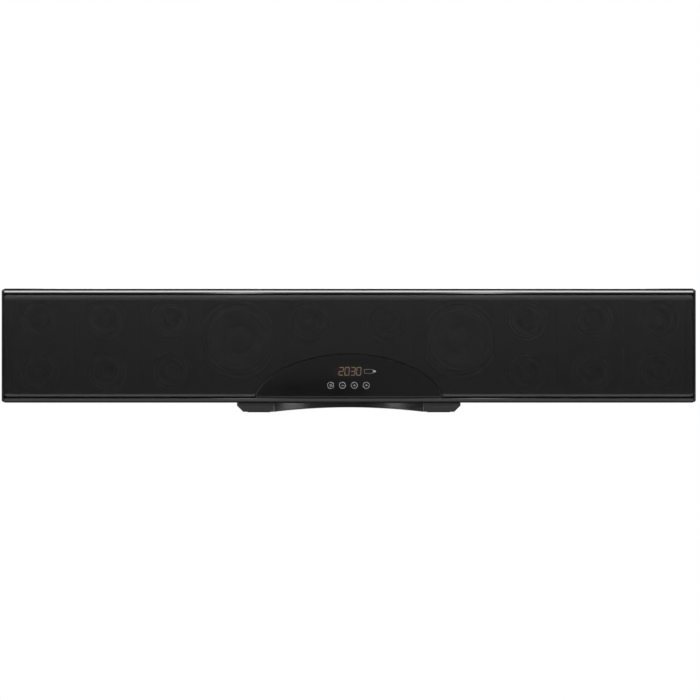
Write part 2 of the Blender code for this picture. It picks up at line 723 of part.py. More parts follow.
def foot_end(name, side):
    """One end of the foot: upright at the top, then a 45 degree slope in to its flat base."""
    top = BODY_BOTTOM - GAP
    slope_top = BODY_BOTTOM - FOOT_UPRIGHT
    base = PAD_STANDS_OUT
    outline = [
        (side * (FOOT_SEAM + FOOT_SEAM_GAP / 2), top),
        (side * (FOOT_SEAM + FOOT_SEAM_GAP / 2), base),
        (side * (FOOT_HALF_WIDTH - (slope_top - base)), base),
        (side * FOOT_HALF_WIDTH, slope_top),
        (side * FOOT_HALF_WIDTH, top),
    ]
    obj = front_plate(name, outline, -FOOT_HALF_DEPTH, FOOT_HALF_DEPTH, "shell_plastic")
    x = side * PAD_X
    grow = GAP + 0.0001
    pocket_low = (x - PAD_HALF[0] - grow, -PAD_HALF[1] - grow, base - 0.003)
    pocket_high = (x + PAD_HALF[0] + grow, PAD_HALF[1] + grow, PAD_THICKNESS + GAP)
    cut(obj, block(name + "_pad_pocket", pocket_low, pocket_high))
    return obj


def foot_bridge():
    """The glossy middle of the foot: arched from below, its front scooped back in the middle."""
    half = FOOT_SEAM - FOOT_SEAM_GAP / 2
    radius = (half * half + FOOT_SCOOP * FOOT_SCOOP) / (2 * FOOT_SCOOP)
    sweep = asin(half / radius) * 180 / pi
    scoop_centre = (0, -FOOT_HALF_DEPTH + FOOT_SCOOP - radius)
    front = arc(scoop_centre, radius, 90 + sweep, 90 - sweep, 16)
    outline = front + [(half, FOOT_HALF_DEPTH), (-half, FOOT_HALF_DEPTH)]
    top = BODY_BOTTOM - GAP
    obj = extruded("foot_bridge", outline, PAD_STANDS_OUT, top, TOP_VIEW, "gloss_black")
    rise = ARCH_RISE - PAD_STANDS_OUT
    arch_radius = (half * half + rise * rise) / (2 * rise)
    arch_sweep = asin(half / arch_radius) * 180 / pi
    arch_centre = (0, ARCH_RISE - arch_radius)
    under = arc(arch_centre, arch_radius, 90 - arch_sweep, 90 + arch_sweep, 20)
    beyond = [(-half - 0.01, PAD_STANDS_OUT), (-half - 0.01, -0.02)]
    beyond += [(half + 0.01, -0.02), (half + 0.01, PAD_STANDS_OUT)]
    depth = FOOT_HALF_DEPTH + 0.01
    cut(obj, front_plate("foot_arch", under + beyond, -depth, depth))
    shade_by_angle(obj)
    return obj


def pad(name, side):
    x = side * PAD_X
    low = (x - PAD_HALF[0], -PAD_HALF[1], 0)
    high = (x + PAD_HALF[0], PAD_HALF[1], PAD_THICKNESS)
    obj = block(name, low, high, "pad_rubber")
    round_edges(obj, 0.004, 3, lambda a, b: abs(a.z - b.z) > 0.001)
    return obj


def build():
    cabinet_shell()
    front_baffle()
    rail("top_rail", BODY_TOP, -1)
    rail("bottom_rail", BODY_BOTTOM, 1)
    for side_name, side in SIDES:
        end_cap("end_cap_" + side_name, side)
        keyhole_plate("keyhole_plate_" + side_name, side)
        foot_end("foot_" + side_name, side)
        pad("pad_" + side_name, side)
    foot_bridge()
    grille_frame()
    grille_cloth()
    control_panel()
    for name, x in KEY_PLACES.items():
        key(name, x)
    panel_electronics()
    for name, centre, kind in driver_places():
        basket(name, centre, kind)
        cone(name, centre, kind)
    connector_tray()
    mains_inlet()
    input_sockets()
    boards()


clear_scene()
parts = new_collection("soundbar")
cutters = new_collection("cutters")
for material_name, values in MATERIALS.items():
    new_material(material_name, *values)
build()
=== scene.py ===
"""The soundbar's looks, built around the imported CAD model."""

from math import asin, cos, pi, radians, sin

import bmesh
import bpy
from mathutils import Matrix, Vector


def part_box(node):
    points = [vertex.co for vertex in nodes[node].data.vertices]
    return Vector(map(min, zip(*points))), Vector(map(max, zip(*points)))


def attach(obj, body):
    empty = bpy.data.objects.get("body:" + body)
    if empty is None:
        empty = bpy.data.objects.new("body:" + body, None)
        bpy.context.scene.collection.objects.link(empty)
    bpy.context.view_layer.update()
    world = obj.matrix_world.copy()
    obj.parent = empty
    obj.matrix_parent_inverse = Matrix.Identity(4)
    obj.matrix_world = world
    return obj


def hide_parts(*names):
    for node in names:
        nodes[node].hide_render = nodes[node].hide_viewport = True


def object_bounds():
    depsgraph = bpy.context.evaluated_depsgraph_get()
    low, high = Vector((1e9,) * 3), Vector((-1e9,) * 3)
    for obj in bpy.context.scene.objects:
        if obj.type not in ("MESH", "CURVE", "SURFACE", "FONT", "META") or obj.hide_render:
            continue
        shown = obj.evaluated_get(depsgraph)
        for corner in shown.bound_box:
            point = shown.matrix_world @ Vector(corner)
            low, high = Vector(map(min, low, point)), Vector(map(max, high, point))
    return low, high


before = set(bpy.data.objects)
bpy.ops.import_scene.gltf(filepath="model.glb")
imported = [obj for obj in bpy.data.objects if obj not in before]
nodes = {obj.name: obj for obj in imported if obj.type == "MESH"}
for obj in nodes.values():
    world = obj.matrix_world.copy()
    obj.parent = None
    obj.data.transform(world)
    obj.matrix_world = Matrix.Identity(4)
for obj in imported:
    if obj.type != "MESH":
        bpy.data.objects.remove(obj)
cad_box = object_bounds()

# Places that the CAD gives.
CLOTH_LOW, CLOTH_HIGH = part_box("grille_cloth")
PANEL_LOW, PANEL_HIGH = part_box("control_panel")
SHELL_LOW, SHELL_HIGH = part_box("cabinet_shell")
BRIDGE_LOW, BRIDGE_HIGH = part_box("foot_bridge")
INLET_LOW, INLET_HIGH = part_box("mains_inlet")
SOCKETS_LOW, SOCKETS_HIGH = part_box("input_sockets")
TRAY_LOW, TRAY_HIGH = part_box("connector_tray")

SIDES = (("left", -1), ("right", 1))
QUARTER = pi / 2
FULL_TURN = 2 * pi


def middle(name):
    low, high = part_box(name)
    return (low + high) / 2


def new_object(name, data):
    obj = bpy.data.objects.new(name, data)
    bpy.context.scene.collection.objects.link(obj)
    return obj


# Materials.


def grey(level):
    return (level, level, level)


def scaled(colour, factor):
    return tuple(factor * c for c in colour)


class Look:
    """A material with a Principled shader, and short ways to feed it procedural detail."""

    def __init__(self, name, **sockets):
        self.material = bpy.data.materials.new(name)
        self.material.use_nodes = True
        self.tree = self.material.node_tree
        self.shader = self.tree.nodes["Principled BSDF"]
        for socket, value in sockets.items():
            self.put(self.shader, socket.replace("_", " "), value)
        self.place = self.tree.nodes.new("ShaderNodeTexCoord").outputs["Object"]

    def put(self, node, socket, value):
        if isinstance(value, bpy.types.NodeSocket):
            self.tree.links.new(value, node.inputs[socket])
        elif isinstance(value, tuple) and len(value) == 3 and "Color" in socket:
            node.inputs[socket].default_value = (*value, 1.0)
        else:
            node.inputs[socket].default_value = value

    def node(self, kind, output, inputs, **settings):
        made = self.tree.nodes.new(kind)
        for name, value in settings.items():
            setattr(made, name, value)
        for socket, value in inputs.items():
            self.put(made, socket, value)
        return made.outputs[output]

    def noise(self, scale, detail=3.0, stretch=None):
        vector = self.place
        if stretch:
            vector = self.node("ShaderNodeMapping", 0, {"Vector": vector, "Scale": stretch})
        inputs = {"Vector": vector, "Scale": scale, "Detail": detail}
        return self.node("ShaderNodeTexNoise", 0, inputs)

    def cells(self, scale, feature="F1", randomness=1.0):
        inputs = {"Vector": self.place, "Scale": scale, "Randomness": randomness}
        return self.node("ShaderNodeTexVoronoi", "Distance", inputs, feature=feature)

    def wave(self, period, direction, distortion):
        # A wave texture repeats 20 times in a full turn at a scale of one.
        scale = FULL_TURN / (20 * period)
        inputs = {"Vector": self.place, "Scale": scale, "Distortion": distortion}
        return self.node("ShaderNodeTexWave", "Fac", inputs, bands_direction=direction)

    def math(self, operation, first, second):
        return self.node("ShaderNodeMath", 0, {0: first, 1: second}, operation=operation)

    def spread(self, value, low, high, from_low=0.3, from_high=0.7):
        limits = {"From Min": from_low, "From Max": from_high, "To Min": low, "To Max": high}
        return self.node("ShaderNodeMapRange", 0, {"Value": value, **limits})

    def shades(self, value, *stops):
        ramp = self.tree.nodes.new("ShaderNodeValToRGB")
        while len(ramp.color_ramp.elements) < len(stops):
            ramp.color_ramp.elements.new(0.5)
        for element, (place, colour) in zip(ramp.color_ramp.elements, stops):
            element.position = place
            element.color = (*colour, 1.0)
        self.tree.links.new(value, ramp.inputs[0])
        return ramp.outputs[0]

    def bump(self, height, distance, strength=1.0):
        inputs = {"Height": height, "Distance": distance, "Strength": strength}
        self.put(self.shader, "Normal", self.node("ShaderNodeBump", 0, inputs))

    def grained(self, grain, dark, pale, smooth, rough, relief, strength=0.6, tone=None):
        """Polish and relief that follow a grain, and a colour that follows it or another tone."""
        tone = grain if tone is None else tone
        self.colour(self.shades(tone, (0.3, dark), (0.7, pale)))
        self.rough(self.spread(grain, smooth, rough))
        self.bump(grain, relief, strength)
        return self.material

    def colour(self, value):
        self.put(self.shader, "Base Color", value)

    def rough(self, value):
        self.put(self.shader, "Roughness", value)


def fabric(name, shine, roughness, edge_highlight_colour):
    look = Look(name, Sheen_Weight=0.04, Sheen_Roughness=0.30, Specular_IOR_Level=shine)
    across = look.wave(KNIT_PITCH, "X", 0.15)
    down = look.wave(KNIT_PITCH, "Z", 0.15)
    thread = look.math("MAXIMUM", across, down)
    slub = look.noise(90.0, 4.0, stretch=(1.0, 1.0, 0.25))
    relief = look.spread(thread, 0.55, 1.15, 0.0, 1.0)
    tint = look.math("MULTIPLY", relief, look.spread(slub, 0.85, 1.15))
    flat = look.shades(tint, (0.0, FABRIC_SHADE), (1.0, FABRIC_COLOUR))
    # Near the frame's long edges the colour turns paler, a painted highlight on the cloth's rolled
    # edges.
    height = look.node("ShaderNodeSeparateXYZ", "Z", {"Vector": look.place})
    above = look.spread(height, 0.0, 1.0, *(CLOTH_HIGH.z - z for z in HIGHLIGHT_ABOVE))
    below = look.spread(height, 1.0, 0.0, *(CLOTH_LOW.z + z for z in HIGHLIGHT_BELOW))
    painted_edge_highlight = look.shades(tint, (0.0, scaled(edge_highlight_colour, 0.45)), (1.0, edge_highlight_colour))
    inputs = {"Fac": look.math("MAXIMUM", above, below), "Color1": flat, "Color2": painted_edge_highlight}
    look.colour(look.node("ShaderNodeMixRGB", 0, inputs))
    look.rough(look.spread(slub, roughness - 0.04, roughness + 0.04))
    look.put(look.shader, "Alpha", look.spread(thread, FABRIC_OPEN, FABRIC_SHUT, 0.35, 0.9))
    look.bump(thread, 0.0003, 0.8)
    return look.material


def gloss(name, colour, roughness, ripple=0.00001):
    """Polished plastic: a faint orange peel and very slightly uneven polish."""
    look = Look(name, Base_Color=colour, IOR=1.5)
    look.rough(look.spread(look.noise(60.0), roughness * 0.9, roughness * 1.15))
    look.bump(look.noise(35.0, 2.0), ripple, 0.5)
    return look.material


def moulded(name, colour, roughness, grain=0.0007, depth=0.00006):
    """Spark-textured moulded plastic."""
    look = Look(name, IOR=1.46)
    grains = look.cells(1 / grain)
    tone = look.math("ADD", look.math("MULTIPLY", grains, 0.5), look.noise(25.0, 2.0))
    look.colour(look.shades(tone, (0.35, scaled(colour, 0.75)), (0.9, scaled(colour, 1.25))))
    look.rough(look.spread(look.noise(140.0), roughness * 0.95, roughness * 1.05))
    look.bump(grains, depth, 0.7)
    return look.material


def painted_board():
    look = Look("baffle_paint", Specular_IOR_Level=0.3)
    fibre = look.noise(220.0, 5.0, stretch=(0.3, 1.0, 1.0))
    return look.grained(fibre, grey(0.010), grey(0.020), 0.65, 0.9, 0.0002)


def paper_pulp(name, dark, pale):
    look = Look(name, Sheen_Weight=0.1, Specular_IOR_Level=0.35)
    pulp = look.noise(420.0, 6.0)
    blotch = look.noise(60.0, 3.0)
    tone = look.math("MULTIPLY", pulp, look.spread(blotch, 0.8, 1.25))
    return look.grained(pulp, dark, pale, 0.6, 0.85, 0.0002, 0.8, tone)


def rubber(name, colour, roughness):
    look = Look(name, Specular_IOR_Level=0.4)
    fine = look.noise(900.0)
    limits = (roughness * 0.8, roughness * 1.2)
    pale = scaled(colour, 1.4)
    return look.grained(fine, colour, pale, *limits, 0.00008, tone=look.noise(70.0))


def metal(name, colour, roughness, grain=(1.0, 1.0, 30.0), metallic=1.0):
    """Drawn or plated metal, with its grain along one direction."""
    look = Look(name, Metallic=metallic)
    streak = look.noise(40.0, 4.0, stretch=grain)
    limits = (roughness * 0.7, roughness * 1.3)
    return look.grained(streak, scaled(colour, 0.75), colour, *limits, 0.00003, 0.5)


def zinc():
    look = Look("zinc_plating", Metallic=1.0)
    grain = look.noise(260.0, 5.0, stretch=(1.0, 1.0, 0.06))
    cloud = look.noise(60.0, 3.0)
    tone = look.math("ADD", look.math("MULTIPLY", grain, 0.6), look.math("MULTIPLY", cloud, 0.4))
    look.colour(look.shades(tone, (0.35, (0.44, 0.45, 0.45)), (0.65, (0.60, 0.61, 0.59))))
    look.rough(look.spread(tone, 0.30, 0.44, 0.35, 0.65))
    look.bump(grain, 0.00002, 0.4)
    return look.material


def circuit_board():
    look = Look("circuit_board_green", Specular_IOR_Level=0.6)
    tracks = look.cells(330.0, "DISTANCE_TO_EDGE", 0.55)
    copper = look.math("LESS_THAN", tracks, 0.09)
    look.colour(look.shades(copper, (0.0, (0.010, 0.060, 0.026)), (1.0, (0.030, 0.150, 0.060))))
    look.rough(look.spread(look.noise(200.0), 0.3, 0.5))
    look.bump(copper, 0.00005, 0.6)
    return look.material


def printed(name, colour, glow=0.0):
    """Ink, or the thin lit layer of a display, with a faint screen-print grain."""
    look = Look(name, Roughness=0.45)
    grain = look.noise(1500.0, 2.0)
    tint = look.shades(grain, (0.3, scaled(colour, 0.85)), (0.7, colour))
    look.colour(tint)
    if glow:
        look.put(look.shader, "Emission Color", tint)
        look.put(look.shader, "Emission Strength", glow)
    return look.material


def painted_display_glow():
    """The acrylic over the display, with the display's glow painted on as a purple colour that
    fades out round it.
    """
    look = Look("painted_display_glow", IOR=1.5, Roughness=0.13)
    across, down = 1 / GLOW_HALF_WIDTH, 1 / GLOW_HALF_HEIGHT
    shift = (0.0, 0.0, -middle("display_module").z * down)
    inputs = {"Vector": look.place, "Location": shift, "Scale": (across, 0.0, down)}
    vector = look.node("ShaderNodeMapping", 0, inputs)
    near = look.node("ShaderNodeTexGradient", "Fac", {"Vector": vector}, gradient_type="SPHERICAL")
    uneven = look.math("MULTIPLY", near, look.spread(look.noise(300.0), 0.85, 1.15))
    look.colour(look.shades(uneven, (0.0, ACRYLIC_COLOUR), (0.55, (0.0075, 0.0026, 0.0070))))
    look.bump(look.noise(35.0, 2.0), ACRYLIC_RIPPLE, 0.5)
    return look.material


def floor_paint():
    look = Look("studio_floor", Roughness=0.9, Specular_IOR_Level=0.0)
    look.colour(look.shades(look.noise(3.0), (0.3, grey(0.24)), (0.7, grey(0.26))))
    # The camera sees it as evenly lit white, and the soundbar is lit by it as plain paint.
    seen = look.tree.nodes.new("ShaderNodeLightPath").outputs["Is Camera Ray"]
    white = look.node("ShaderNodeEmission", 0, {"Color": grey(1.0)})
    inputs = {0: seen, 1: look.shader.outputs[0], 2: white}
    out = look.tree.nodes["Material Output"]
    look.put(out, "Surface", look.node("ShaderNodeMixShader", 0, inputs))
    return look.material


KNIT_PITCH = 0.0011
FABRIC_COLOUR = (0.0054, 0.0054, 0.0055)
FABRIC_SHADE = (0.0035, 0.0035, 0.0038)
# How much of what is behind the cloth it hides, between its threads and on them.
FABRIC_OPEN, FABRIC_SHUT = 0.79, 0.96
# distances from the cloth's upper and lower edges between which its painted edge highlight fades
# out
HIGHLIGHT_ABOVE = (0.0090, 0.0020)
HIGHLIGHT_BELOW = (0.0026, 0.0044)
ACRYLIC_COLOUR = (0.0012, 0.0013, 0.0014)
ACRYLIC_RIPPLE = 0.000004
# half sizes of the glow painted round the display
GLOW_HALF_WIDTH = 0.030
GLOW_HALF_HEIGHT = 0.0115

LOOKS = {
    # Both cloth looks paint a paler highlight along the cloth's long edges, the hem's the palest;
    # the hem is also really shinier.
    "fabric": fabric("grille_fabric", 0.08, 0.42, grey(0.026)),
    "hem": fabric("grille_hem_painted_highlight", 0.42, 0.32, grey(0.060)),
    "piano_black": gloss("piano_black", (0.004, 0.004, 0.0045), 0.14),
    "bridge_black": gloss("bridge_black", (0.002, 0.002, 0.0022), 0.12, 0.000002),
    "acrylic": gloss("tinted_acrylic", ACRYLIC_COLOUR, 0.10, ACRYLIC_RIPPLE),
    "shell": moulded("moulded_shell", (0.014, 0.014, 0.0145), 0.62),
    "foot_plastic": moulded("foot_satin", grey(0.0016), 0.44, 0.0005, 0.00003),
    # The foot seam strips' pale colour is a painted highlight.
    "foot_seam_highlight": moulded("painted_seam_highlight", (0.13, 0.13, 0.128), 0.4, 0.0004, 0.00001),
    "frame": moulded("frame_moulding", grey(0.006), 0.8),
    "socket": moulded("socket_moulding", grey(0.022), 0.5),
    "baffle": painted_board(),
    "gasket": rubber("gasket_foam", grey(0.020), 0.9),
    "pad": rubber("pad_rubber_black", grey(0.014), 0.8),
    "magnet": metal("ferrite", (0.060, 0.060, 0.062), 0.6, (1, 1, 1), 0.2),
    "steel": metal("bright_steel", (0.62, 0.62, 0.60), 0.3),
    "copper": metal("voice_coil", (0.60, 0.33, 0.18), 0.35, (1, 60, 1)),
    "screw": metal("black_screw", (0.035, 0.035, 0.036), 0.35, (1, 1, 1), 0.7),
    "aluminium": metal("folded_aluminium", (0.60, 0.61, 0.62), 0.35, (1, 30, 1)),
    "zinc": zinc(),
    "board": circuit_board(),
    "key": gloss("key_gloss", grey(0.006), 0.12),
    "key_print": printed("key_print", (0.19, 0.19, 0.187)),
    "glyph_print": printed("glyph_print", (0.30, 0.30, 0.295)),
    "plug_print": printed("plug_print", grey(0.060)),
    "digit": printed("amber_segment", (0.072, 0.056, 0.018), 0.35),
    "digit_glow": painted_display_glow(),
}
for name, colour in (
    ("red_insert", (0.35, 0.012, 0.010)),
    ("white_insert", (0.60, 0.60, 0.57)),
    ("yellow_insert", (0.60, 0.36, 0.03)),
    ("black_insert", grey(0.012)),
):
    LOOKS[name] = moulded(name, colour, 0.35, 0.0005, 0.00002)
for kind, pulp, surround, flange in (
    # the pulp's dark and pale colours, then a colour and a roughness for surround and flange
    (
        "woofer",
        ((0.090, 0.090, 0.092), (0.130, 0.130, 0.133)),
        ((0.085, 0.085, 0.086), 0.9),
        ((0.070, 0.070, 0.071), 0.95),
    ),
    ("mid", (grey(0.005), grey(0.009)), (grey(0.006), 0.75), (grey(0.016), 0.8)),
    (
        "small",
        (grey(0.012), grey(0.020)),
        ((0.050, 0.050, 0.051), 0.85),
        ((0.054, 0.054, 0.055), 0.9),
    ),
):
    LOOKS[kind + "_cone"] = paper_pulp(kind + "_pulp", *pulp)
    LOOKS[kind + "_surround"] = rubber(kind + "_rubber", *surround)
    LOOKS[kind + "_flange"] = rubber(kind + "_flange_paint", *flange)


# Mesh helpers. Each adds to a bmesh, and piece() makes the object.


def along_y(u, v, w):
    """Drawn in X and Z, and solid along Y."""
    return (u, w, v)


def along_x(u, v, w):
    """Drawn in Y and Z, and solid along X."""
    return (w, u, v)


def shade(mesh, sharp):
    """Smooth shading, with edges kept sharp where faces meet at more than an angle in degrees."""
    mesh.shade_smooth()
    mesh.set_sharp_from_angle(angle=radians(sharp))


def meshed(name, made, looks=(), sharp=40):
    mesh = bpy.data.meshes.new(name)
    made.to_mesh(mesh)
    made.free()
    for look in looks:
        mesh.materials.append(LOOKS[look])
    shade(mesh, sharp)
    return mesh


def face_out(made):
    bmesh.ops.recalc_face_normals(made, faces=made.faces)


def piece(name, made, looks, body, replaced=(), sharp=40):
    face_out(made)
    return placed(name, meshed(name, made, looks, sharp), body, replaced)


def placed(name, mesh, body, replaced=(), at=None):
    obj = new_object(name, mesh)
    if at:
        obj.location = at
    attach(obj, body)
    if replaced:
        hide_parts(*replaced)
    return obj


def soften(obj, width, segments=2, angle=40):
    """Rounds the sharp edges of a finished piece, with its flat faces left flat."""
    bevel = obj.modifiers.new("soften", "BEVEL")
    bevel.width = width
    bevel.segments = segments
    bevel.limit_method = "ANGLE"
    bevel.angle_limit = radians(angle)
    bevel.harden_normals = True


def each(value, points):
    """A list with one value for each point, from such a list or from a single number."""
    return [value] * len(points) if isinstance(value, (int, float)) else list(value)


def offset(outline, amounts):
    """Moves the points of a counter-clockwise outline inwards, by one amount or one for each."""
    amounts = each(amounts, outline)
    count = len(outline)
    moved = []
    for i, (x, y) in enumerate(outline):
        before, after = outline[i - 1], outline[(i + 1) % count]
        one = Vector((x - before[0], y - before[1])).normalized()
        two = Vector((after[0] - x, after[1] - y)).normalized()
        normal_one, normal_two = Vector((-one.y, one.x)), Vector((-two.y, two.x))
        miter = (normal_one + normal_two) / max(1 + normal_one.dot(normal_two), 0.3)
        moved.append((x + amounts[i] * miter.x, y + amounts[i] * miter.y))
    return moved


def loop(made, points, levels, to=along_y):
    """A row of vertices on an outline, at one level or one for each point."""
    return [made.verts.new(to(u, v, w)) for (u, v), w in zip(points, each(levels, points))]


def skin(made, rows, material=0):
    """Quads between each row of points and the next, closed round."""
    for one, two in zip(rows, rows[1:]):
        for i in range(len(one)):
            j = (i + 1) % len(one)
            face = made.faces.new((one[i], one[j], two[j], two[i]))
            face.material_index = material


def fill(made, loops):
    """A flat face between an outer loop and the holes in it."""
    edges = []
    for points in loops:
        for pair in zip(points, points[1:] + points[:1]):
            edges.append(made.edges.get(pair) or made.edges.new(pair))
    bmesh.ops.triangle_fill(made, use_beauty=True, use_dissolve=False, edges=edges)


def rolled(made, outline, rolls, face, back, to, sign, steps=6, ring=0.0004):
    """Rows up an outline's wall from the level back, round its edge, and onto the level face."""
    way = 1 if back > face else -1
    rolls = each(rolls, outline)
    rows = [loop(made, outline, back, to)]
    for step in range(steps + 1):
        turn = QUARTER * step / steps
        inset = offset(outline, [sign * r * (1 - cos(turn)) for r in rolls])
        levels = [face + way * r * (1 - sin(turn)) for r in rolls]
        rows.append(loop(made, inset, levels, to))
    inset = offset(outline, [sign * (r + ring) for r in rolls])
    rows.append(loop(made, inset, face, to))
    return rows


def solid(made, outline, roll, face, back, to, holes=(), wall=None, shut=True):
    """A plate with a rounded front edge. With a wall it is hollow, and open at the back.

    outline is counter-clockwise, roll one radius or one for each point, and holes are
    (outline, radius) pairs. shut closes the back with a flat face.
    """
    way = 1 if back > face else -1
    outer = rolled(made, outline, roll, face, back, to, 1)
    floor = face + way * wall if wall else back
    inner = [rolled(made, hole, r, face, floor, to, -1, 3, 0.0002) for hole, r in holes]
    fill(made, [outer[-1], *[rows[-1] for rows in inner]])
    for rows in (outer, *inner):
        skin(made, rows)
    if wall:
        inside = offset(outline, wall)
        rim, base = loop(made, inside, back, to), loop(made, inside, floor, to)
        skin(made, [outer[0], rim, base])
        fill(made, [base, *[rows[0] for rows in inner]])
    elif shut:
        fill(made, [outer[0], *[rows[0] for rows in inner]])


def bar(made, outline, roll, low, high, to):
    """An outline made solid between two levels, with both ends' edges rounded."""
    half_way = (low + high) / 2
    one = rolled(made, outline, roll, low, half_way, to, 1, 3)
    two = rolled(made, outline, roll, high, half_way, to, 1, 3)
    skin(made, [*reversed(one[1:]), *two[1:]])
    fill(made, [one[-1]])
    fill(made, [two[-1]])
    bmesh.ops.delete(made, geom=one[0] + two[0], context="VERTS")


def circle(centre, radius, steps):
    angles = [FULL_TURN * i / steps for i in range(steps)]
    return [(centre[0] + radius * cos(a), centre[1] + radius * sin(a)) for a in angles]


def arc(centre, radius, start, end, steps):
    angles = [radians(start + (end - start) * i / steps) for i in range(steps + 1)]
    return [(centre[0] + radius * cos(a), centre[1] + radius * sin(a)) for a in angles]


def rounded(low, high, radius, steps=8):
    """A rectangle with round corners, counter-clockwise from its lower right corner."""
    corners = (
        ((high[0] - radius, low[1] + radius), -90),
        ((high[0] - radius, high[1] - radius), 0),
        ((low[0] + radius, high[1] - radius), 90),
        ((low[0] + radius, low[1] + radius), 180),
    )
    return [p for centre, start in corners for p in arc(centre, radius, start, start + 90, steps)]


def lathe(made, profile, centre=(0, 0), steps=64, material=0, closed=False):
    """A profile of (radius, y) points turned about the Y line through centre (x, z)."""
    rings = []
    for radius, y in profile:
        if radius < 1e-7:
            rings.append([made.verts.new((centre[0], y, centre[1]))])
        else:
            rings.append([made.verts.new((x, y, z)) for x, z in circle(centre, radius, steps)])
    if closed:
        rings.append(rings[0])
    for one, two in zip(rings, rings[1:]):
        for i in range(steps):
            j = (i + 1) % steps
            corners = [one[i % len(one)], one[j % len(one)], two[j % len(two)], two[i % len(two)]]
            corners = list(dict.fromkeys(corners))
            if len(corners) > 2:
                made.faces.new(corners).material_index = material


def hoop(made, inner, outer, front, back, steps, material=0):
    """A turned ring of square section, between two radii and two levels."""
    profile = [(inner, front), (outer, front), (outer, back), (inner, back)]
    lathe(made, profile, steps=steps, material=material, closed=True)


def block(made, low, high, material=0):
    got = bmesh.ops.create_cube(made, size=1.0)
    low, high = Vector(low), Vector(high)
    bmesh.ops.scale(made, vec=high - low, verts=got["verts"])
    bmesh.ops.translate(made, vec=(low + high) / 2, verts=got["verts"])
    for face in {f for v in got["verts"] for f in v.link_faces}:
        face.material_index = material


def screw_head(made, centre, level, facing, radius=0.0028, height=0.0009, material=0):
    """A pan head with a cross recess, standing on a level and facing -Y or +Y."""
    profile = [
        (radius, 0.0),
        (radius, 0.45 * height),
        (0.85 * radius, 0.8 * height),
        (0.6 * radius, height),
        (0.42 * radius, height),
    ]
    points = [(r, level + facing * h) for r, h in profile]
    lathe(made, points, centre, 24, material)
    depth = level + facing * (height - 0.0005)
    arm, half = 0.42 * radius, 0.13 * radius
    lathe(made, [points[-1], (0.16 * radius, depth), (0, depth)], centre, 8, material)
    for along in (0, 1):
        for side in (-1, 1):
            reach = [centre[0], centre[1]]
            reach[along] += side * 0.7 * arm
            size = [half, half]
            size[along] = 0.35 * arm
            low = (reach[0] - size[0], depth, reach[1] - size[1])
            high = (reach[0] + size[0], depth + facing * 0.0001, reach[1] + size[1])
            block(made, tuple(map(min, low, high)), tuple(map(max, low, high)), material)


# Grille cloth.

PANEL_HALF_WIDTH = 0.151
PANEL_RISE = 0.084
PANEL_AXIS_Z = PANEL_HIGH.z - PANEL_RISE
NOTCH_CLEARANCE = 0.0007
CLOTH_CORNER = 0.0052
CLOTH_ROLL = 0.004
CLOTH_END_ROLL = 0.0018
NOTCH_ROLL = 0.0016
CLOTH_HEM = 0.0007
# The drawn cloth stands this far outside its CAD solid, below and at the ends.
HEM_DROP = 0.0008
END_SPREAD = 0.0004


def arch(growth, bottom, steps=96):
    """The control panel's arch, from its right foot over to its left one."""
    half = PANEL_HALF_WIDTH + growth
    rise = PANEL_RISE + growth
    start = asin((bottom - PANEL_AXIS_Z) / rise)
    angles = [start + (pi - 2 * start) * i / steps for i in range(steps + 1)]
    return [(half * cos(a), PANEL_AXIS_Z + rise * sin(a)) for a in angles]


def eased(points, bottom, low_roll, high_roll, reach):
    """One edge radius for each point, changing from low_roll at the bottom within reach of it."""
    rolls = []
    for _, z in points:
        share = min(max((z - bottom) / reach, 0.0), 1.0)
        rolls.append(low_roll + (high_roll - low_roll) * share * share * (3 - 2 * share))
    return rolls


def grille_cloth():
    """One layer of cloth over the frame: flat in front, drawn round every edge and hemmed."""
    bottom = CLOTH_LOW.z - HEM_DROP
    notch = list(reversed(arch(NOTCH_CLEARANCE, bottom)))
    right = CLOTH_HIGH.x + END_SPREAD
    outer = rounded((-right, bottom), (right, CLOTH_HIGH.z), CLOTH_CORNER)
    outline = outer + notch
    rolls = []
    for x, _ in outer:
        share = (right - abs(x)) / CLOTH_CORNER
        rolls.append(CLOTH_END_ROLL + (CLOTH_ROLL - CLOTH_END_ROLL) * min(share, 1.0))
    rolls += eased(notch, bottom, CLOTH_ROLL, NOTCH_ROLL, 0.008)
    made = bmesh.new()
    rear = CLOTH_HIGH.y - 0.0004
    rows = rolled(made, outline, rolls, CLOTH_LOW.y, rear, along_y, 1, 8)
    hem = loop(made, offset(outline, CLOTH_HEM), rear)
    skin(made, [hem, *rows])
    fill(made, [rows[-1]])
    # The lower edge's faces take the hem look: a really shinier finish, and a paler colour that is
    # a painted highlight.
    made.faces.ensure_lookup_table()
    for face in made.faces:
        if face.calc_center_median().z < bottom + CLOTH_ROLL and abs(face.normal.z) > 0.1:
            face.material_index = 1
    looks = ["fabric", "hem"]
    cloth = piece("grille_fabric_sheet", made, looks, "grille", ["grille_cloth"])


# Cabinet.

# (radius, elevation of the surface's normal where the arc ends), from the outer edge inwards
RAIL_CROWN = ((0.0040, 35), (0.0080, 26), (0.0190, 15.5), (0.0012, 0))
RAIL_EDGE = 0.0002
# The top rail's skirt hangs this far into the gap over the grille.
TOP_RAIL_LIP = 0.0013
# The corner at the bar's ends is one curve, which starts on the rails and ends on the caps.
CORNER_SHARE = 0.0011
CAP_CORNER = 0.0030
CAP_ROLL = 0.0032


